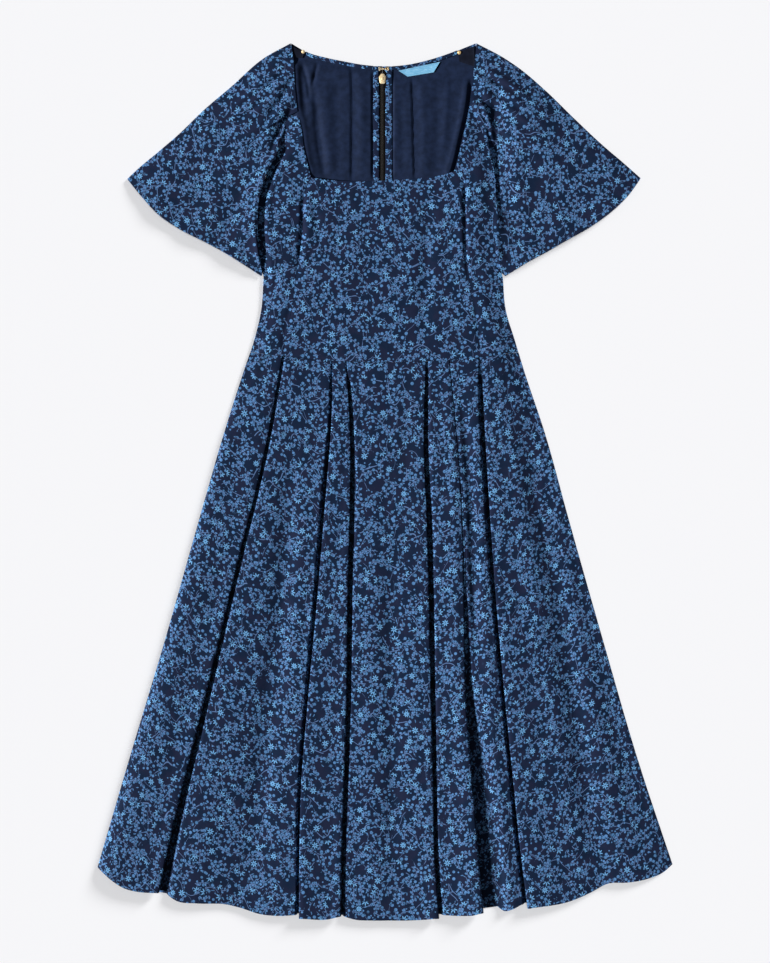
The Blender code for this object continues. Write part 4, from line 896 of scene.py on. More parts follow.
def skirt_back(name, side, seam, offset, material):
    columns = []
    rows = np.linspace(0.0, 1.0, 70)
    for share in np.linspace(0.0, 1.0, 56):
        waist = waist_crossing(lambda at: blend(ZIP_ACROSS, seam(at), share)) + SEAM_GAP
        hem = float(skirt_back_hem(blend(ZIP_ACROSS, side * 397.0, share)))
        down = blend(waist, hem, rows)
        across = blend(ZIP_ACROSS + side * SEAM_GAP, seam(down) - side * 0.5, share)
        columns.append((across, down))
    across = np.stack([column[0] for column in columns], axis=1)
    down = np.stack([column[1] for column in columns], axis=1)
    back_shell(name, across, down, offset, material)


def bodice_back(name, side, seam, back_seam, shoulder, offset, material):
    outline = back_seam(np.linspace(0, 1, 60))
    outer = Line(*[(row[1], row[0]) for row in outline[::6]])
    rows = np.concatenate([[0.0, 0.004, 0.012], np.linspace(0.02, 0.23, 52), np.linspace(0.24, 1.0, 50)])
    columns = []
    for share in np.linspace(0.0, 1.0, 48):
        top_across = blend(ZIP_ACROSS + side * SEAM_GAP, shoulder, share)
        top = float(neck_back(top_across))
        at_waist = float(seam(WAIST_SIDE_DOWN))
        waist = float(waist_down(blend(ZIP_ACROSS, at_waist, share))) - SEAM_GAP
        down = blend(top, waist, rows)
        edge = np.where(down < ARMPIT_DOWN - 6, outer(down), seam(down))
        edge = blend(outer(down), seam(down), smooth(down, ARMPIT_DOWN - 12, ARMPIT_DOWN + 2)) * (edge * 0 + 1)
        across = blend(centre_edge(side, down), edge - side * 0.4, share)
        columns.append((across, down))
    across = np.stack([column[0] for column in columns], axis=1)
    down = np.stack([column[1] for column in columns], axis=1)
    back_shell(name, across, down, offset, material)


# Inside the neck

TAPE_WIDTH = 12.0
# Distances from the middle of the zip to both edges of the printed strip that covers its tape
FACING_INNER = {-1: 4.9, 1: 4.1}
FACING_OUTER = {-1: 12.8, 1: 13.3}
ZIP_FACING_END = 430.0
LINING_SEAMS = {-1: Line((38, -50.5), (72, -49.8), (177, -50.2)), 1: Line((38, 34.5), (76, 35.8), (178, 38.5))}


def lining(name, side, neck_edge, offset, material):
    """Plain lining of a back half, with its one long seam and soft folds."""
    tape_edge = ZIP_ACROSS + side * (TAPE_WIDTH + 0.3)
    columns = []
    rows = np.linspace(0.0, 1.0, 84)
    for share in uneven(72, 0.5):
        top_across = blend(tape_edge, float(neck_edge(8)) - side * 7, share)
        top = float(neck_back(top_across)) + 2.0
        bottom_across = blend(tape_edge, float(neck_edge(185)), share)
        bottom = float(neck_front(bottom_across)) + 14.0
        down = blend(top, bottom, rows)
        reach = blend(2.0, 8.0, smooth(down, 10, 60))
        across = blend(np.full(len(rows), tape_edge), neck_edge(np.minimum(down, 190)) + side * reach, share)
        columns.append((across, down))
    across = np.stack([column[0] for column in columns], axis=1)
    down = np.stack([column[1] for column in columns], axis=1)
    clear = smooth(down - neck_back(across), 5.5, 16.0) * smooth(np.abs(across - ZIP_ACROSS), 13.0, 17.5)
    clear = clear * (smooth(down, 21, 33) if side < 0 else smooth(down, 46, 62)) * (1 - smooth(down, 178.0, 196.0))
    height = 2.0 + clear * (2.0 + relief(across, down, LINING_CREASES))
    height = height + 0.3 * clear * rise_and_fall(across, down, 1.0, 9.0, 0.2)
    from_edge = side * (neck_edge(np.minimum(down, 190)) - across)
    roll = 1.9 * np.exp(-(((from_edge - (8.5 if side > 0 else 2.0)) / (4.2 if side > 0 else 6.0)) ** 2))
    height = height + clear * roll * (smooth(down, 22, 36) if side < 0 else smooth(down, 40, 70))
    if side > 0:
        height = blend(1.9, height, smooth(from_edge, 1.2, 6.6))
    from_seam = across - LINING_SEAMS[side](down)
    width = 2.4 if side < 0 else 1.0
    height = height - (0.3 + 1.3 * clear) * smooth(from_seam, -0.3, width) * (1 - smooth(from_seam, width, 16.0))
    middle = np.stack([across, down, np.clip(height, 1.7, 5.4)], axis=-1)
    cloth_map = plan_map(middle, offset)
    piece = shell(f"{name}_cloth", middle, cloth_map, 0.5, [material])
    dress(piece, "navy_lining", name)


def strip(name, inner, outer, height_at, offset, material):
    """A narrow strip of cloth between two lines of (across, down) places, gently rounded."""
    across_rows = []
    for share in np.linspace(0.0, 1.0, 12):
        across_rows.append(blend(inner, outer, share))
    places = np.stack(across_rows, axis=0)
    share = np.linspace(0.0, 1.0, 12)[:, None]
    height = height_at + 0.45 * np.sqrt(np.clip(1 - (2 * share - 1) ** 2, 0, 1)) * np.ones(places.shape[:2])
    middle = np.concatenate([places, height[..., None]], axis=-1)
    run = np.concatenate([[0.0], np.cumsum(np.linalg.norm(np.diff(places[6], axis=0), axis=1))])
    width = np.linalg.norm(outer - inner, axis=1)
    cloth_map = np.stack([share * width * MM + offset[0], run * MM + offset[1] + 0.0 * share], axis=-1)
    piece = shell(f"{name}_cloth", middle, cloth_map, 0.6, [material])
    dress(piece, "printed_cotton", name)
    return middle


def neck_band(name, side, outer_end, offset, material):
    inner_end = ZIP_ACROSS + side * (FACING_OUTER[side] + 0.3)
    across = np.linspace(outer_end, inner_end, 70)
    upper = np.stack([across, neck_back(across) + 0.3], axis=-1)
    lower = np.stack([across, neck_back(across) + 5.2], axis=-1)
    return strip(name, upper, lower, 3.3, offset, material)


def zip_facing(name, side, offset, material):
    down = np.concatenate([np.linspace(32.5, 70, 40), np.linspace(72, ZIP_FACING_END, 90)])
    start = np.maximum(down, neck_back(ZIP_ACROSS + side * 8) + 0.3)
    parted = smooth(down, 38.0, 42.0) * (1 - smooth(down, 56.0, 66.0))
    closed = 1 - smooth(down, 35.5, 39.0)
    inner = blend(blend(FACING_INNER[side], 5.6, parted), 0.3, closed)
    inner_line = np.stack([ZIP_ACROSS + side * inner, start], axis=-1)
    outer_line = np.stack([np.full(len(down), ZIP_ACROSS + side * FACING_OUTER[side]), start], axis=-1)
    return strip(name, inner_line, outer_line, 3.25, offset, material)


# Shader sums written as Python


class Value:
    """A socket or number in a shader sum; each operator adds its Math node."""

    def __init__(self, tree, socket):
        self.tree = tree
        self.socket = socket

    def __add__(self, other):
        return self.tree.math("ADD", self, other)

    __radd__ = __add__

    def __sub__(self, other):
        return self.tree.math("SUBTRACT", self, other)

    def __rsub__(self, other):
        return self.tree.math("SUBTRACT", other, self)

    def __mul__(self, other):
        return self.tree.math("MULTIPLY", self, other)

    __rmul__ = __mul__

    def __truediv__(self, other):
        return self.tree.math("DIVIDE", self, other)

    def __neg__(self):
        return self.tree.math("MULTIPLY", self, -1.0)


class Tree:
    """The node tree of one material."""

    def __init__(self, name):
        self.material = bpy.data.materials.new(name)
        self.material.use_nodes = True
        self.nodes = self.material.node_tree.nodes
        self.links = self.material.node_tree.links
        self.nodes.clear()

    def node(self, kind, settings=None, **inputs):
        """Add a node, set its settings, then the values or links of its sockets."""
        node = self.nodes.new(kind)
        for key, value in (settings or {}).items():
            setattr(node, key, value)
        for key, value in inputs.items():
            socket = node.inputs[int(key[1:])] if key[0] == "_" and key[1:].isdigit() else node.inputs[key]
            self.put(socket, value)
        return node

    def put(self, socket, value):
        if isinstance(value, Value):
            self.links.new(value.socket, socket)
        elif isinstance(value, bpy.types.NodeSocket):
            self.links.new(value, socket)
        else:
            socket.default_value = value

    def math(self, operation, *values):
        node = self.node("ShaderNodeMath", {"operation": operation})
        for socket, value in zip(node.inputs, values):
            self.put(socket, value)
        return Value(self, node.outputs[0])

    def vector(self, operation, *values, scale=None):
        node = self.node("ShaderNodeVectorMath", {"operation": operation})
        for socket, value in zip(node.inputs, values):
            self.put(socket, value)
        if scale is not None:
            self.put(node.inputs["Scale"], scale)
        output = "Value" if operation in ("LENGTH", "DOT_PRODUCT", "DISTANCE") else "Vector"
        return Value(self, node.outputs[output])

    def parts(self, vector):
        node = self.node("ShaderNodeSeparateXYZ", _0=vector)
        return [Value(self, node.outputs[k]) for k in range(3)]

    def joined(self, x, y, z=0.0):
        node = self.node("ShaderNodeCombineXYZ", _0=x, _1=y, _2=z)
        return Value(self, node.outputs[0])

    def step(self, value, start, end):
        """0 at start, 1 at end, smooth between; start may be above end."""
        node = self.node("ShaderNodeMapRange", {"interpolation_type": "SMOOTHSTEP"})
        low, high = min(start, end), max(start, end)
        for socket, item in zip(node.inputs, (value, low, high)):
            self.put(socket, item)
        result = Value(self, node.outputs[0])
        return result if start < end else 1.0 - result

    def noise(self, place, scale, detail=2.0, roughness=0.5):
        node = self.node("ShaderNodeTexNoise", Vector=place, Scale=scale, Detail=detail, Roughness=roughness)
        return Value(self, node.outputs[0])

    def cells(self, place, randomness=1.0):
        """Scattered points, one to a unit cell: place measured from the nearest one, and its colour."""
        node = self.node(
            "ShaderNodeTexVoronoi",
            {"voronoi_dimensions": "2D", "feature": "F1"},
            Vector=place,
            Scale=1.0,
            Randomness=randomness,
        )
        away = self.vector("SUBTRACT", place, node.outputs["Position"])
        return away, Value(self, node.outputs["Color"])

    def mix(self, share, first, second):
        node = self.node("ShaderNodeMix", {"data_type": "RGBA"})
        self.put(node.inputs[0], share)
        self.put(node.inputs[6], first)
        self.put(node.inputs[7], second)
        return Value(self, node.outputs[2])

    def bump(self, height, strength, distance, normal=None):
        node = self.node("ShaderNodeBump", Height=height, Strength=strength, Distance=distance)
        if normal is not None:
            self.put(node.inputs["Normal"], normal)
        return Value(self, node.outputs[0])

    def finish(self, **inputs):
        """The Principled shader that the material ends in."""
        shader = self.node("ShaderNodeBsdfPrincipled")
        for name, value in inputs.items():
            self.put(shader.inputs[name.replace("_", " ")], value)
        output = self.node("ShaderNodeOutputMaterial")
        self.links.new(shader.outputs[0], output.inputs["Surface"])
        return self.material


def shade(red, green, blue):
    """A colour given from 0 to 255 as seen, in the shader's own scale."""
    seen = [channel / 255 for channel in (red, green, blue)]
    linear = [c / 12.92 if c <= 0.04045 else ((c + 0.055) / 1.055) ** 2.4 for c in seen]
    return (*linear, 1.0)


NAVY = shade(15, 32, 58)
NAVY_WARM = shade(26, 34, 60)
BERRY_BLUE = shade(72, 116, 162)
BERRY_PALE = shade(88, 134, 188)
DAISY_BLUE = shade(108, 166, 218)
STEM_LILAC = shade(92, 122, 170)
GROOVE_SHADE = shade(7, 11, 20)
LINING_NAVY = shade(28, 42, 72)
LINING_DARK = shade(18, 30, 54)


def weave_height(tree, place, pitch):
    """Crossed threads: each direction uneven along its length."""
    u, v, _ = tree.parts(place)
    across = tree.noise(tree.joined(u * (1.0 / pitch), v * (0.06 / pitch)), 1.0, 1.0)
    along = tree.noise(tree.joined(u * (0.06 / pitch), v * (1.0 / pitch)), 1.0, 1.0)
    return across + along


def printed_cotton():
    """Navy cotton printed with small daisies, berries and curled stems, set out by rule, with painted shade in the
    grooves beside the skirt's folds; all in millimetres.
    """
    tree = Tree("printed cotton")
    cloth = tree.node("ShaderNodeUVMap", {"uv_map": "cloth"}).outputs[0]
    place = tree.vector("SCALE", cloth, scale=1000.0)
    warp = tree.node("ShaderNodeTexNoise", Vector=place, Scale=0.035, Detail=1.0).outputs["Color"]
    drift = tree.vector("SCALE", tree.vector("SUBTRACT", warp, (0.5, 0.5, 0.5)), scale=22.0)
    swept = tree.vector("ADD", place, drift)
    u, v, _ = tree.parts(swept)

    def vine(period, lean, swing, length, phase):
        """Distance from the nearest of a family of waving vines."""
        line = v + u * lean + tree.math("SINE", u * (6.283 / length) + phase) * swing
        return tree.math("PINGPONG", line, period / 2)

    def scatter(spacing, shift, turn):
        """Scattered motifs: place from the nearest one, its distance and three chance numbers."""
        moved = tree.node("ShaderNodeMapping", {"vector_type": "POINT"}, Vector=place)
        moved.inputs["Location"].default_value = (shift, shift * 0.37, 0.0)
        moved.inputs["Rotation"].default_value = (0.0, 0.0, turn)
        moved.inputs["Scale"].default_value = (1.0 / spacing, 1.0 / spacing, 1.0)
        away, colour = tree.cells(Value(tree, moved.outputs[0]), 0.82)
        away = tree.vector("SCALE", away, scale=spacing)
        return away, tree.vector("LENGTH", away), tree.parts(colour)

    def turned(away, angle):
        node = tree.node("ShaderNodeVectorRotate", {"rotation_type": "Z_AXIS"}, Vector=away)
        tree.put(node.inputs["Angle"], angle)
        return tree.parts(Value(tree, node.outputs[0]))

    def chosen(chance, share):
        return tree.step(chance + share, 0.995, 1.005)

    def daisy(spacing, shift, turn, radius, petals, share):
        """Narrow round-ended petals about a small dark eye, and the clear disc that they lie in."""
        away, distance, chance = scatter(spacing, shift, turn)
        x, y, _ = turned(away, chance[0] * 6.283)
        angle = tree.math("ARCTAN2", y, x)
        sector = 6.2832 / petals
        from_petal = tree.math("PINGPONG", angle, sector / 2)
        reach = radius * (0.84 + chance[1] * 0.32)
        along = distance * tree.math("COSINE", from_petal)
        aside = distance * tree.math("SINE", from_petal)
        oval = tree.vector(
            "LENGTH", tree.joined((along - reach * 0.58) / (reach * 0.43), aside * (1.0 / (0.155 * radius)))
        )
        petal = tree.step(oval, 1.12, 0.80)
        side_view = tree.step(chance[1], 0.27, 0.29)
        kept = tree.math("MAXIMUM", 1.0 - side_view, tree.step(x, -0.6, 0.2)) * chosen(chance[2], share)
        return petal * kept, tree.step(distance - reach, 0.9, 0.3) * kept

    def sprig(spacing, shift, turn, share, size, reach):
        """A short bent stem with berries set on stalks to either side of it."""
        away, distance, chance = scatter(spacing, shift, turn)
        x, y, _ = turned(away, chance[0] * 6.283)
        bent = y + x * x * (chance[1] - 0.5) * 0.16
        stem = tree.step(tree.math("ABSOLUTE", bent), 0.68, 0.28)
        pitch = 3.8
        count = x * (1.0 / pitch)
        whole = tree.math("FLOOR", count)
        beside = (count - whole - 0.5) * pitch
        hand = 1.0 - 2.0 * tree.math("FLOORED_MODULO", whole, 2.0)
        out = bent * hand
        disc = tree.vector("LENGTH", tree.joined(beside, out - 2.5))
        berries = tree.step(disc, size + 0.24, size - 0.26)
        margin = tree.step(disc, size + 0.95, size + 0.45)
        stalk = tree.step(tree.math("ABSOLUTE", beside - (out - 2.5) * 0.35), 0.55, 0.22)
        stalk = stalk * tree.step(out, -0.1, 0.1) * tree.step(out, 2.2, 1.9)
        length = tree.step(tree.math("ABSOLUTE", x), reach + 0.3, reach - 0.3)
        shown = length * chosen(chance[2], share)
        return tree.math("MAXIMUM", stem, stalk) * shown, berries * shown, margin * shown

    def berry(spacing, shift, turn, radius, far_share, near_share):
        away, distance, chance = scatter(spacing, shift, turn)
        size = radius * (0.82 + 0.36 * chance[1])
        shown = chosen(chance[2], far_share + near_vine * (near_share - far_share))
        return tree.step(size - distance, -0.24, 0.26) * shown, tree.step(size - distance, -0.95, -0.45) * shown

    def leaf(spacing, shift, turn, length, width, far_share, near_share):
        away, distance, chance = scatter(spacing, shift, turn)
        x, y, _ = turned(away, chance[0] * 6.283)
        oval = tree.vector("LENGTH", tree.joined(x * (1.0 / length), (y + x * x * 0.05) * (1.0 / width)))
        return tree.step(oval, 1.15, 0.80) * chosen(chance[2], far_share + near_vine * (near_share - far_share))

    first_vine = vine(38.0, 0.30, 8.0, 47.0, 0.4)
    second_vine = vine(47.0, -1.5, 9.0, 55.0, 2.0)
    third_vine = vine(61.0, 1.9, 7.0, 39.0, 4.1)
    broken = tree.noise(place, 0.06, 1.0)
    vines = tree.step(first_vine, 0.85, 0.35) * tree.step(broken, 0.42, 0.47)
    vines = tree.math("MAXIMUM", vines, tree.step(second_vine, 0.85, 0.35) * tree.step(broken, 0.55, 0.50))
    vines = tree.math("MAXIMUM", vines, tree.step(third_vine, 0.85, 0.35) * tree.step(broken, 0.46, 0.51))
    nearest_vine = tree.math("MINIMUM", tree.math("MINIMUM", first_vine, second_vine), third_vine)
    near_vine = tree.step(nearest_vine, 9.5, 3.0)

    ground = tree.mix(tree.step(tree.noise(place, 0.05, 2.0), 0.38, 0.62), NAVY, NAVY_WARM)
    berry_colour = tree.mix(tree.step(tree.noise(place, 0.17, 1.0), 0.36, 0.64), BERRY_BLUE, BERRY_PALE)
    colour = tree.mix(vines, ground, STEM_LILAC)
    colour = tree.mix(leaf(8.0, 31.7, 0.25, 2.4, 0.75, 0.14, 0.46), colour, berry_colour)
    colour = tree.mix(berry(6.2, 23.9, 0.5, 1.1, 0.12, 0.45)[0], colour, berry_colour)

    def printed(colour, motif, margin, ink):
        """A motif over what lies beneath, with its clear margin of ground."""
        return tree.mix(motif, tree.mix(margin, colour, ground), ink)

    colour = printed(colour, *berry(8.2, 41.3, 0.9, 2.1, 0.24, 0.56), berry_colour)
    colour = printed(colour, *berry(9.6, 7.9, 0.15, 2.0, 0.16, 0.40), berry_colour)
    for settings in ((21.0, 11.9, 0.8, 0.72, 1.5, 9.0), (23.0, 33.3, -0.3, 0.62, 1.65, 8.0)):
        stems, berries, margin = sprig(*settings)
        colour = tree.mix(stems * 0.95, printed(colour, berries, margin, berry_colour), STEM_LILAC)
    for settings in ((24.0, 3.1, 0.35, 5.4, 7.0, 0.56), (37.0, 17.7, -0.6, 5.0, 8.0, 0.66)):
        colour = printed(colour, *daisy(*settings), DAISY_BLUE)
    # Painted shade: the print is darkened towards near black deep in the narrow grooves beside the skirt's folds.
    painted_groove_shade = Value(tree, tree.node("ShaderNodeAttribute", {"attribute_name": "painted_groove_shade"}).outputs["Fac"])
    colour = tree.mix(painted_groove_shade * 0.74, colour, GROOVE_SHADE)
    threads = weave_height(tree, place, 0.42)
    rumple = tree.noise(place, 0.09, 3.0)
    normal = tree.bump(threads, 0.10, 0.0002)
    normal = tree.bump(rumple, 0.35, 0.0012, normal)
    return tree.finish(
        Base_Color=colour,
        Roughness=0.78 + threads * 0.06,
        Normal=normal,
        Sheen_Weight=0.02,
        Sheen_Roughness=0.45,
        Specular_IOR_Level=0.10,
    )


def plain_cloth(name, first, second, pitch, roughness, sheen, rumple_strength=0.25, highlight=None):
    """A plain dyed cloth with its weave and a slight unevenness of colour, and pale streaks of painted highlight where
    one is given.
    """
    tree = Tree(name)
    cloth = tree.node("ShaderNodeUVMap", {"uv_map": "cloth"}).outputs[0]
    place = tree.vector("SCALE", cloth, scale=1000.0)
    threads = weave_height(tree, place, pitch)
    uneven_colour = tree.noise(place, 0.12, 3.0)
    colour = tree.mix(tree.step(uneven_colour, 0.25, 0.75), first, second)
    colour = tree.mix(tree.step(threads, 0.8, 1.25) * 0.25, colour, second)
    if highlight is not None:
        # Painted highlight: pale streaks drawn along the cloth.
        u, v, _ = tree.parts(place)
        highlight_streaks = tree.noise(tree.joined(u * 0.16 - v * 0.04, v * 1.3 + u * 0.3), 1.0, 2.0)
        colour = tree.mix(tree.step(highlight_streaks, 0.50, 0.68) * 0.8, colour, highlight)
    normal = tree.bump(threads, 0.15, 0.0002)
    normal = tree.bump(tree.noise(place, 0.11, 3.0), rumple_strength, 0.001, normal)
    return tree.finish(
        Base_Color=colour,
        Roughness=roughness + threads * 0.08,
        Normal=normal,
        Sheen_Weight=sheen,
        Sheen_Roughness=0.4,
        Specular_IOR_Level=0.12,
    )


def object_material(name, colour, dark, roughness, metallic, grain, strength):
    """A hard finish that reads Object coordinates: fine grain, and patches of a darker tone here and there."""
    tree = Tree(name)
    place = tree.node("ShaderNodeTexCoord").outputs["Object"]
    fine = tree.noise(place, grain, 3.0)
    coarse = tree.noise(place, grain * 0.13, 2.0)
    mixed = tree.mix(tree.step(coarse, 0.35, 0.7), colour, dark)
    return tree.finish(
        Base_Color=mixed,
        Roughness=roughness + fine * 0.12,
        Metallic=metallic,
        Normal=tree.bump(fine, strength, 0.0001),
    )


# Small hard pieces, modelled from primitives


def deselect_all():
    for item in bpy.context.view_layer.objects:
        item.select_set(False)


def take_up(piece):
    """Make one piece the only selected one."""
    deselect_all()
    piece.select_set(True)
    bpy.context.view_layer.objects.active = piece


def plate(name, outline, base, thickness, bevel, material, segments=3):
    """A plate cut to an outline of (across, down) corners, with its edges rounded."""
    deselect_all()
    bpy.ops.mesh.primitive_circle_add(vertices=len(outline), radius=0.01, fill_type="NGON")
    piece = bpy.context.object
    piece.name = name
    places = world([(across, down, base) for across, down in outline])
    for vertex, place in zip(piece.data.vertices, places):
        vertex.co = place
    piece.location = (0, 0, 0)
    take_up(piece)
    bpy.ops.object.mode_set(mode="EDIT")
    bpy.ops.mesh.select_all(action="SELECT")
    bpy.ops.mesh.extrude_region_move(TRANSFORM_OT_translate={"value": (0, 0, thickness * MM)})
    bpy.ops.mesh.select_all(action="SELECT")
    bpy.ops.mesh.normals_make_consistent(inside=False)
    bpy.ops.object.mode_set(mode="OBJECT")
    if bevel:
        rounding = piece.modifiers.new("rounding", "BEVEL")
        rounding.width = bevel * MM
        rounding.segments = segments
        rounding.limit_method = "ANGLE"
        rounding.angle_limit = math.radians(30)
        bpy.ops.object.modifier_apply(modifier="rounding")
    piece.data.materials.clear()
    piece.data.materials.append(material)
    piece.data.shade_smooth()
    piece.data.set_sharp_from_angle(angle=math.radians(40))
    return piece


def joined(name, pieces):
    """Several shapes as one piece."""
    take_up(pieces[0])
    for piece in pieces:
        piece.select_set(True)
    bpy.ops.object.join()
    piece = bpy.context.object
    piece.name = name
    return piece


def wire(name, points, radius, material, cyclic=False, sides=2):
    """A bent wire along points given as across, down, height."""
    curve = bpy.data.curves.new(name, "CURVE")
    curve.dimensions = "3D"
    curve.bevel_depth = radius * MM
    curve.bevel_resolution = sides
    curve.use_fill_caps = True
    spline = curve.splines.new("POLY")
    places = world(points)
    spline.points.add(len(places) - 1)
    for point, place in zip(spline.points, places):
        point.co = (*place, 1.0)
    spline.use_cyclic_u = cyclic
    made = bpy.data.objects.new(name, curve)
    bpy.context.collection.objects.link(made)
    take_up(made)
    bpy.ops.object.convert(target="MESH")
    piece = bpy.context.object
    piece.data.materials.clear()
    piece.data.materials.append(material)
    piece.data.shade_smooth()
    return piece


def repeated(name, seed, places, directions, material):
    """One small shape copied to many places, each turned to its direction, as one mesh."""
    count = len(seed.data.vertices)
    base = np.zeros(count * 3, np.float32)
    seed.data.vertices.foreach_get("co", base)
    base = base.reshape(-1, 3)
    faces = [tuple(face.vertices) for face in seed.data.polygons]
    points, polygons = [], []
    for number, (place, direction) in enumerate(zip(places, directions)):
        along = np.array(direction, float)
        along /= np.linalg.norm(along)
        aside = np.cross((0.0, 0.0, 1.0), along)
        aside /= np.linalg.norm(aside)
        up = np.cross(along, aside)
        points.append(base[:, :1] * along + base[:, 1:2] * aside + base[:, 2:3] * up + np.array(place))
        polygons += [tuple(index + number * count for index in face) for face in faces]
    mesh = bpy.data.meshes.new(name)
    mesh.from_pydata(np.concatenate(points).tolist(), [], polygons)
    mesh.shade_smooth()
    mesh.materials.append(material)
    piece = bpy.data.objects.new(name, mesh)
    bpy.context.collection.objects.link(piece)
    return piece


def stitch_seed(length, radius):
    """One stitch of thread that lies on the cloth and dips at both ends."""
    deselect_all()
    bpy.ops.mesh.primitive_cylinder_add(vertices=6, radius=radius * MM, depth=length * MM, end_fill_type="NGON")
    seed = bpy.context.object
    seed.rotation_euler = (0, math.pi / 2, 0)
    take_up(seed)
    bpy.ops.object.transform_apply(location=True, rotation=True, scale=True)
    bpy.ops.object.mode_set(mode="EDIT")
    bpy.ops.mesh.select_all(action="SELECT")
    bpy.ops.mesh.bisect(plane_co=(0.0, 0, 0), plane_no=(1, 0, 0))
    bpy.ops.object.mode_set(mode="OBJECT")
    for vertex in seed.data.vertices:
        far = abs(vertex.co.x) > 0.3 * length * MM
        vertex.co.y *= 0.6 if far else 1.0
        vertex.co.z = vertex.co.z * (0.6 if far else 1.0) - (0.25 * MM if far else 0.0)
    return seed


def stitches_along(name, line, pitch, thread, length=2.2, radius=0.16):
    """Stitches along a line of points (across, down, height on the cloth)."""
    line = world(line)
    steps = np.linalg.norm(np.diff(line, axis=0), axis=1)
    run = np.concatenate([[0.0], np.cumsum(steps)])
    at = np.arange(pitch / 2, run[-1] / MM, pitch) * MM
    places = np.stack([np.interp(at, run, line[:, k]) for k in range(3)], axis=-1)
    ahead = np.stack([np.interp(at + 0.0006, run, line[:, k]) for k in range(3)], axis=-1)
    behind = np.stack([np.interp(at - 0.0006, run, line[:, k]) for k in range(3)], axis=-1)
    seed = stitch_seed(length, radius)
    piece = repeated(name, seed, places, ahead - behind, thread)
    bpy.data.objects.remove(seed, do_unlink=True)
    return piece


# The zip, the hook and eye, the snaps and the ribbons

SLIDER_DOWN = 43.0
SLIDER_LENGTH = 14.0
PIVOT_DOWN = 59.5
PIVOT_HEIGHT = 0.68
ZIP_END_DOWN = 560.0
SHIELD = [
    (-1.8, 0.0), (1.8, 0.0), (4.9, 4.2), (4.9, 6.0), (3.9, 12.6), (2.6, SLIDER_LENGTH),
    (-2.6, SLIDER_LENGTH), (-3.9, 12.6), (-4.9, 6.0), (-4.9, 4.2),
]
TAB_HALF = [(2.6, 0.0), (1.5, 5.0), (2.6, 16.0), (2.0, 19.0), (0.8, 20.0)]


def box_outline(across, down):
    return [(across[0], down[0]), (across[1], down[0]), (across[1], down[1]), (across[0], down[1])]


def shrunk(outline, share, middle):
    """An outline drawn in towards a middle."""
    return [(middle[0] + share * (x - middle[0]), middle[1] + share * (y - middle[1])) for x, y in outline]


def zip_slider(material):
    """The slider's inner shield with its raised rim and boss, the post, the outer plate and the lugs."""
    outline = [(ZIP_ACROSS + x, SLIDER_DOWN + y) for x, y in SHIELD]
    middle = (ZIP_ACROSS, SLIDER_DOWN + 6.6)
    shapes = [plate("shield", outline, TRIM_BASE, 1.5, 0.5, material)]
    shapes.append(plate("shield_step", shrunk(outline, 0.74, middle), TRIM_BASE + 1.2, 0.75, 0.3, material))
    shapes.append(plate("shield_boss", shrunk(outline, 0.34, middle), TRIM_BASE + 1.6, 0.75, 0.3, material))
    across = (ZIP_ACROSS - 1.0, ZIP_ACROSS + 1.0)
    shapes.append(plate("post", box_outline(across, (SLIDER_DOWN + 1.5, SLIDER_DOWN + 6.0)), 1.0, 2.3, 0.0, material))
    across = (ZIP_ACROSS - 4.0, ZIP_ACROSS + 4.0)
    shapes.append(plate("outer_plate", box_outline(across, (SLIDER_DOWN + 0.5, 57.1)), 0.1, 1.1, 0.3, material))
    for side in (-1, 1):
        across = sorted((ZIP_ACROSS + side * 2.95, ZIP_ACROSS + side * 4.0))
        shapes.append(plate(f"lug_{side}", box_outline(across, (56.3, 60.5)), 0.1, 1.1, 0.25, material))
    dress(joined("zip_slider_metal", shapes), "gold_metal", "zip_slider")


def bar(name, radius, half_length, material):
    """A round pin along the pull tab's pivot."""
    deselect_all()
    bpy.ops.mesh.primitive_cylinder_add(vertices=20, radius=radius * MM, depth=2 * half_length * MM)
    piece = bpy.context.object
    piece.name = name
    piece.rotation_euler = (0, math.pi / 2, 0)
    piece.location = world((ZIP_ACROSS, PIVOT_DOWN, PIVOT_HEIGHT))
    take_up(piece)
    bpy.ops.object.transform_apply(location=True, rotation=True, scale=True)
    piece.data.materials.append(material)
    piece.data.shade_smooth()
    return piece


def zip_pull_tab(material):
    """The plain waisted tab, its raised rim on both faces, and the pin it hangs on."""
    half = [(x, PIVOT_DOWN + y) for x, y in TAB_HALF]
    outline = [(ZIP_ACROSS + x, y) for x, y in half] + [(ZIP_ACROSS - x, y) for x, y in reversed(half)]
    tab = plate("tab", outline, PIVOT_HEIGHT - 0.42, 0.84, 0.28, material)
    inner = [(ZIP_ACROSS, PIVOT_DOWN + 15.0)]
    grip = shrunk([(ZIP_ACROSS + 1.5, PIVOT_DOWN + 12.5), (ZIP_ACROSS + 1.6, PIVOT_DOWN + 17.4),
                   (ZIP_ACROSS - 1.6, PIVOT_DOWN + 17.4), (ZIP_ACROSS - 1.5, PIVOT_DOWN + 12.5)], 1.0, inner[0])
    grip_plate = plate("grip", grip, PIVOT_HEIGHT - 0.48, 0.96, 0.2, material)
    root = bar("root", 0.46, 2.5, material)
    trunnion = bar("trunnion", 0.24, 3.9, material)
    piece = joined("zip_pull_tab_metal", [tab, grip_plate, root, trunnion])
    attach(piece, "pull_tab")
    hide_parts("zip_pull_tab")


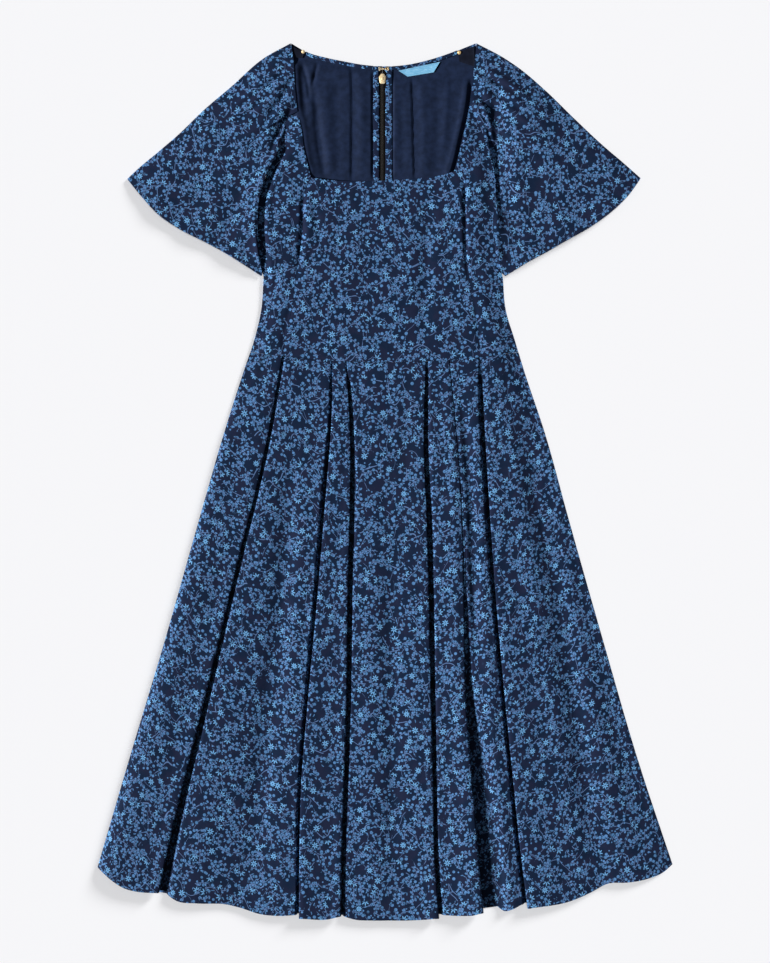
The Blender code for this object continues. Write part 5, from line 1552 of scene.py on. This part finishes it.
def zip_tape(name, side, material):
    """One half of the zip: a woven tape whose inner edge parts round the slider's post."""
    down = np.concatenate([np.linspace(34.5, 60, 40), np.linspace(64, ZIP_END_DOWN, 100)])
    parted = 1.2 * smooth(down, SLIDER_DOWN, SLIDER_DOWN + 1.5) * (1 - smooth(down, SLIDER_DOWN + 7, SLIDER_DOWN + 11))
    inner = ZIP_ACROSS + side * (0.15 + parted)
    outer = np.full(len(down), ZIP_ACROSS + side * TAPE_WIDTH)
    share = np.linspace(0.0, 1.0, 10)[:, None]
    across = blend(outer, inner, share)
    height = 2.0 + 0.25 * smooth(share, 0.70, 0.85) + 0.0 * across
    middle = np.stack([across, down + 0.0 * share, height], axis=-1)
    cloth_map = plan_map(middle, (0.2 * side, 0.9))
    piece = shell(f"{name}_cloth", middle, cloth_map, 0.6, [material])
    dress(piece, "zip_tape", name)


def zip_coil(material):
    """The two rows of coiled nylon teeth along the middle of the zip."""
    deselect_all()
    bpy.ops.mesh.primitive_uv_sphere_add(segments=8, ring_count=5, radius=1.0)
    seed = bpy.context.object
    seed.scale = (1.5 * MM, 0.52 * MM, 0.5 * MM)
    take_up(seed)
    bpy.ops.object.transform_apply(location=True, rotation=True, scale=True)
    places, directions = [], []
    for side, start in ((-1, 0.0), (1, 0.65)):
        for down in np.arange(SLIDER_DOWN + SLIDER_LENGTH - 1.0 + start, ZIP_END_DOWN - 2, 1.3):
            places.append(world((ZIP_ACROSS + side * 1.1, down, 2.75)))
            directions.append((1.0, 0.14 * side, 0.0))
    piece = repeated("zip_coil", seed, places, directions, material)
    bpy.data.objects.remove(seed, do_unlink=True)
    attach(piece, "dress")


def loop(middle, radius, height):
    """Points of a small closed ring of wire."""
    turns = np.linspace(0, 2 * math.pi, 25)[:-1]
    return [(middle[0] + radius * math.cos(t), middle[1] + radius * math.sin(t), height) for t in turns]


def hook(material):
    """A bent wire hook: two sewn loops, and a tongue doubled back over itself."""
    level = METAL_BASE + 0.4
    tongue = [
        (-7.6, 35.2, level), (-5.6, 35.5, level), (-3.0, 35.7, level), (-1.5, 36.0, level), (-1.0, 36.4, level),
        (-1.5, 36.8, level), (-3.0, 37.1, level), (-5.6, 37.3, level), (-7.6, 37.6, level),
    ]
    over = [(-1.1, 36.4, level), (-1.2, 36.4, level + 0.9), (-2.2, 36.4, level + 1.2), (-4.6, 36.4, level + 0.9)]
    shapes = [
        wire("tongue", tongue, 0.36, material),
        wire("return", over, 0.36, material),
        wire("loop_a", loop((-8.3, 35.0), 0.85, level), 0.34, material, cyclic=True),
        wire("loop_b", loop((-8.3, 37.8), 0.85, level), 0.34, material, cyclic=True),
    ]
    dress(joined("hook_wire", shapes), "gold_metal", "hook")


def hook_eye(material):
    """The wire eye on the right facing, with its two sewn loops."""
    level = METAL_BASE + 0.4
    shapes = [
        wire("ring", loop((1.5, 36.4), 1.6, level), 0.36, material, cyclic=True),
        wire("loop_c", loop((3.7, 35.2), 0.8, level), 0.32, material, cyclic=True),
        wire("loop_d", loop((3.7, 37.6), 0.8, level), 0.32, material, cyclic=True),
    ]
    dress(joined("hook_eye_wire", shapes), "gold_metal", "hook_eye")


def snap(name, place, material):
    """A small domed snap: a flange, a rolled ring and a dome."""
    deselect_all()
    middle = world((*place, METAL_BASE))
    bpy.ops.mesh.primitive_cylinder_add(vertices=32, radius=2.6 * MM, depth=0.5 * MM)
    flange = bpy.context.object
    bpy.ops.mesh.primitive_torus_add(
        major_radius=1.95 * MM, minor_radius=0.42 * MM, major_segments=32, minor_segments=10
    )
    ring = bpy.context.object
    ring.location = (0, 0, 0.3 * MM)
    bpy.ops.mesh.primitive_uv_sphere_add(segments=24, ring_count=12, radius=1.5 * MM)
    dome = bpy.context.object
    dome.scale = (1.0, 1.0, 0.72)
    dome.location = (0, 0, 0.25 * MM)
    for shape in (flange, ring, dome):
        shape.data.materials.clear()
        shape.data.materials.append(material)
        shape.location = (shape.location[0] + middle[0], shape.location[1] + middle[1],
                          shape.location[2] + middle[2] + 0.25 * MM)
    piece = joined(f"{name}_metal", [flange, ring, dome])
    bpy.ops.object.transform_apply(location=True, rotation=True, scale=True)
    piece.data.shade_smooth()
    piece.data.set_sharp_from_angle(angle=math.radians(40))
    dress(piece, "gold_metal", name)


def ribbon(name, top, bottom, offset, material, slot_name):
    """A short ribbon between two edges given by their ends, with folded ends and a slight wave."""
    share = np.linspace(0.0, 1.0, 24)
    upper = blend(np.array(top[0], float), np.array(top[1], float), share[:, None])
    lower = blend(np.array(bottom[0], float), np.array(bottom[1], float), share[:, None])
    deep = np.linspace(0.0, 1.0, 12)
    places = np.stack([blend(upper, lower, t) for t in deep], axis=0)
    fold = 0.22 * (1 - smooth(np.minimum(share, 1 - share), 0.02, 0.07))[None, :]
    height = 3.2 + fold + 0.22 * np.sin(math.pi * deep)[:, None] * (1 + 0.6 * np.sin(7 * share))[None, :]
    middle = np.concatenate([places, height[..., None]], axis=-1)
    cloth_map = plan_map(middle, offset)
    piece = shell(f"{name}_cloth", middle, cloth_map, 0.5, [material])
    dress(piece, slot_name, name)


# Everything is built here

cotton = printed_cotton()
navy_cloth = plain_cloth("navy lining cloth", LINING_NAVY, LINING_DARK, 0.35, 0.70, 0.03, 0.12)
dark_ribbon = plain_cloth("dark ribbon", shade(20, 26, 44), shade(12, 16, 30), 0.5, 0.6, 0.02)
blue_ribbon = plain_cloth(
    "pale blue ribbon", shade(126, 190, 230), shade(112, 176, 216), 0.5, 0.5, 0.05, 0.1, shade(168, 218, 246)
)
tape_cloth = plain_cloth("black zip tape", shade(20, 17, 17), shade(10, 9, 9), 0.6, 0.75, 0.0, 0.1)
gold = object_material("pale gold", shade(255, 240, 206), shade(250, 214, 150), 0.30, 0.35, 900.0, 0.15)
nylon = object_material("black nylon", shade(22, 19, 18), shade(12, 11, 11), 0.5, 0.0, 1500.0, 0.1)
thread = object_material("pale blue thread", shade(150, 200, 232), shade(120, 176, 214), 0.6, 0.0, 2500.0, 0.2)

skirt_middle = skirt_front(cotton)
centre_middle = bodice_centre(cotton)
side_left_middle = bodice_side(
    "bodice_front_side_left", -1, 100.6, 189, outer_left, neck_left, bust_left, (0.55, 0.43), cotton
)
side_right_middle = bodice_side(
    "bodice_front_side_right", 1, 96, 180, outer_right, neck_right, bust_right, (0.83, 0.71), cotton
)
sleeve_left_middle = sleeve(
    "sleeve_left", -1, neck_left, armhole_left, 97, BACK_ARMHOLE_LEFT, SLEEVE_FOLD_LEFT, SLEEVE_HEM_LEFT,
    SLEEVE_CREASES_LEFT, (1.31, 0.9), cotton,
)
sleeve_right_middle = sleeve(
    "sleeve_right", 1, neck_right, armhole_right, 91, BACK_ARMHOLE_RIGHT, SLEEVE_FOLD_RIGHT, SLEEVE_HEM_RIGHT,
    SLEEVE_CREASES_RIGHT, (1.83, 1.4), cotton,
)
skirt_back("skirt_back_left", -1, left_side, (2.2, 0.3), cotton)
skirt_back("skirt_back_right", 1, right_side, (2.2, 0.3), cotton)
bodice_back("bodice_back_left", -1, left_side, BACK_ARMHOLE_LEFT, -132.0, (2.9, 1.1), cotton)
bodice_back("bodice_back_right", 1, right_side, BACK_ARMHOLE_RIGHT, 126.4, (2.9, 1.1), cotton)
lining("lining_back_left", -1, neck_left, (0.2, 0.1), navy_cloth)
lining("lining_back_right", 1, neck_right, (0.7, 0.5), navy_cloth)
neck_band("neck_band_left", -1, -111.0, (3.3, 0.6), cotton)
neck_band("neck_band_right", 1, 100.0, (3.7, 0.2), cotton)
zip_facing("zip_facing_left", -1, (4.1, 0.8), cotton)
zip_facing("zip_facing_right", 1, (4.4, 1.3), cotton)

zip_tape("zip_tape_left", -1, tape_cloth)
zip_tape("zip_tape_right", 1, tape_cloth)
zip_coil(nylon)
zip_slider(gold)
zip_pull_tab(gold)
hook(gold)
hook_eye(gold)
snap("keeper_snap_left", (-115.3, 12.2), gold)
snap("keeper_snap_right", (103.2, 13.4), gold)
ribbon("strap_keeper_left", [(-129.8, 5.0), (-113.0, 13.0)], [(-130.5, 20), (-116.5, 21)], (0.1, 0.2), dark_ribbon, "dark_ribbon")
ribbon("strap_keeper_right", [(101.5, 13.0), (124.0, 4.5)], [(103.5, 26), (125.0, 33)], (0.4, 0.1), dark_ribbon, "dark_ribbon")
ribbon("neck_label", [(18.3, 38.6), (76.3, 26.4)], [(31.1, 47), (67.3, 41)], (0.7, 0.3), blue_ribbon, "blue_ribbon")
label_stitches = stitches_along(
    "label_stitches", [(20.5, 39.4, 4.0), (48, 34.1, 4.1), (74.6, 28.0, 4.0)], 2.0, thread, 1.5, 0.14
)
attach(label_stitches, "dress")

# Floor, light and camera

bpy.ops.mesh.primitive_plane_add(size=60.0)
floor = bpy.context.object
floor.name = "floor"
floor.location.z = -0.1 * MM
floor_tree = Tree("pale floor")
floor.data.materials.append(floor_tree.finish(Base_Color=shade(246, 246, 248), Roughness=0.9))

world_light = bpy.data.worlds.new("studio")
world_light.use_nodes = True
background = world_light.node_tree.nodes["Background"]
background.inputs["Color"].default_value = (0.96, 0.97, 1.0, 1.0)
background.inputs["Strength"].default_value = 0.15
bpy.context.scene.world = world_light


def soft_sun(name, azimuth, elevation, level, spread, colour, floor_state):
    """A distant soft light. Level is the light it lays on a flat floor; azimuth turns from +X towards +Y."""
    lamp = bpy.data.lights.new(name, "SUN")
    lamp.energy = level * math.pi / math.sin(math.radians(elevation))
    lamp.angle = math.radians(spread)
    lamp.color = colour
    holder = bpy.data.objects.new(name, lamp)
    bpy.context.collection.objects.link(holder)
    holder.rotation_euler = (0, math.radians(90 - elevation), math.radians(azimuth))
    receivers = bpy.data.collections.new(f"{name} receivers")
    receivers.objects.link(floor)
    receivers.collection_objects[0].light_linking.link_state = floor_state
    holder.light_linking.receiver_collection = receivers
    return holder


soft_sun("key on the dress", 187, 28, 0.88, 6, (1.0, 0.99, 0.97), "EXCLUDE")
soft_sun("key on the floor", 42, 18, 0.26, 16, (1.0, 1.0, 1.0), "INCLUDE")
soft_sun("top light on the floor", 90, 88, 0.60, 20, (1.0, 1.0, 1.0), "INCLUDE")

bpy.context.scene.view_settings.view_transform = "Standard"

CAMERA_HEIGHT = 3.187
camera_data = bpy.data.cameras.new("camera")
camera_data.lens = 85.0
camera_data.sensor_width = 36.0
camera_data.clip_end = 20.0
camera = bpy.data.objects.new("camera", camera_data)
bpy.context.collection.objects.link(camera)
camera.location = (-0.0007, 0.0001, CAMERA_HEIGHT)
camera.rotation_euler = (0, 0, 0)
bpy.context.scene.camera = camera
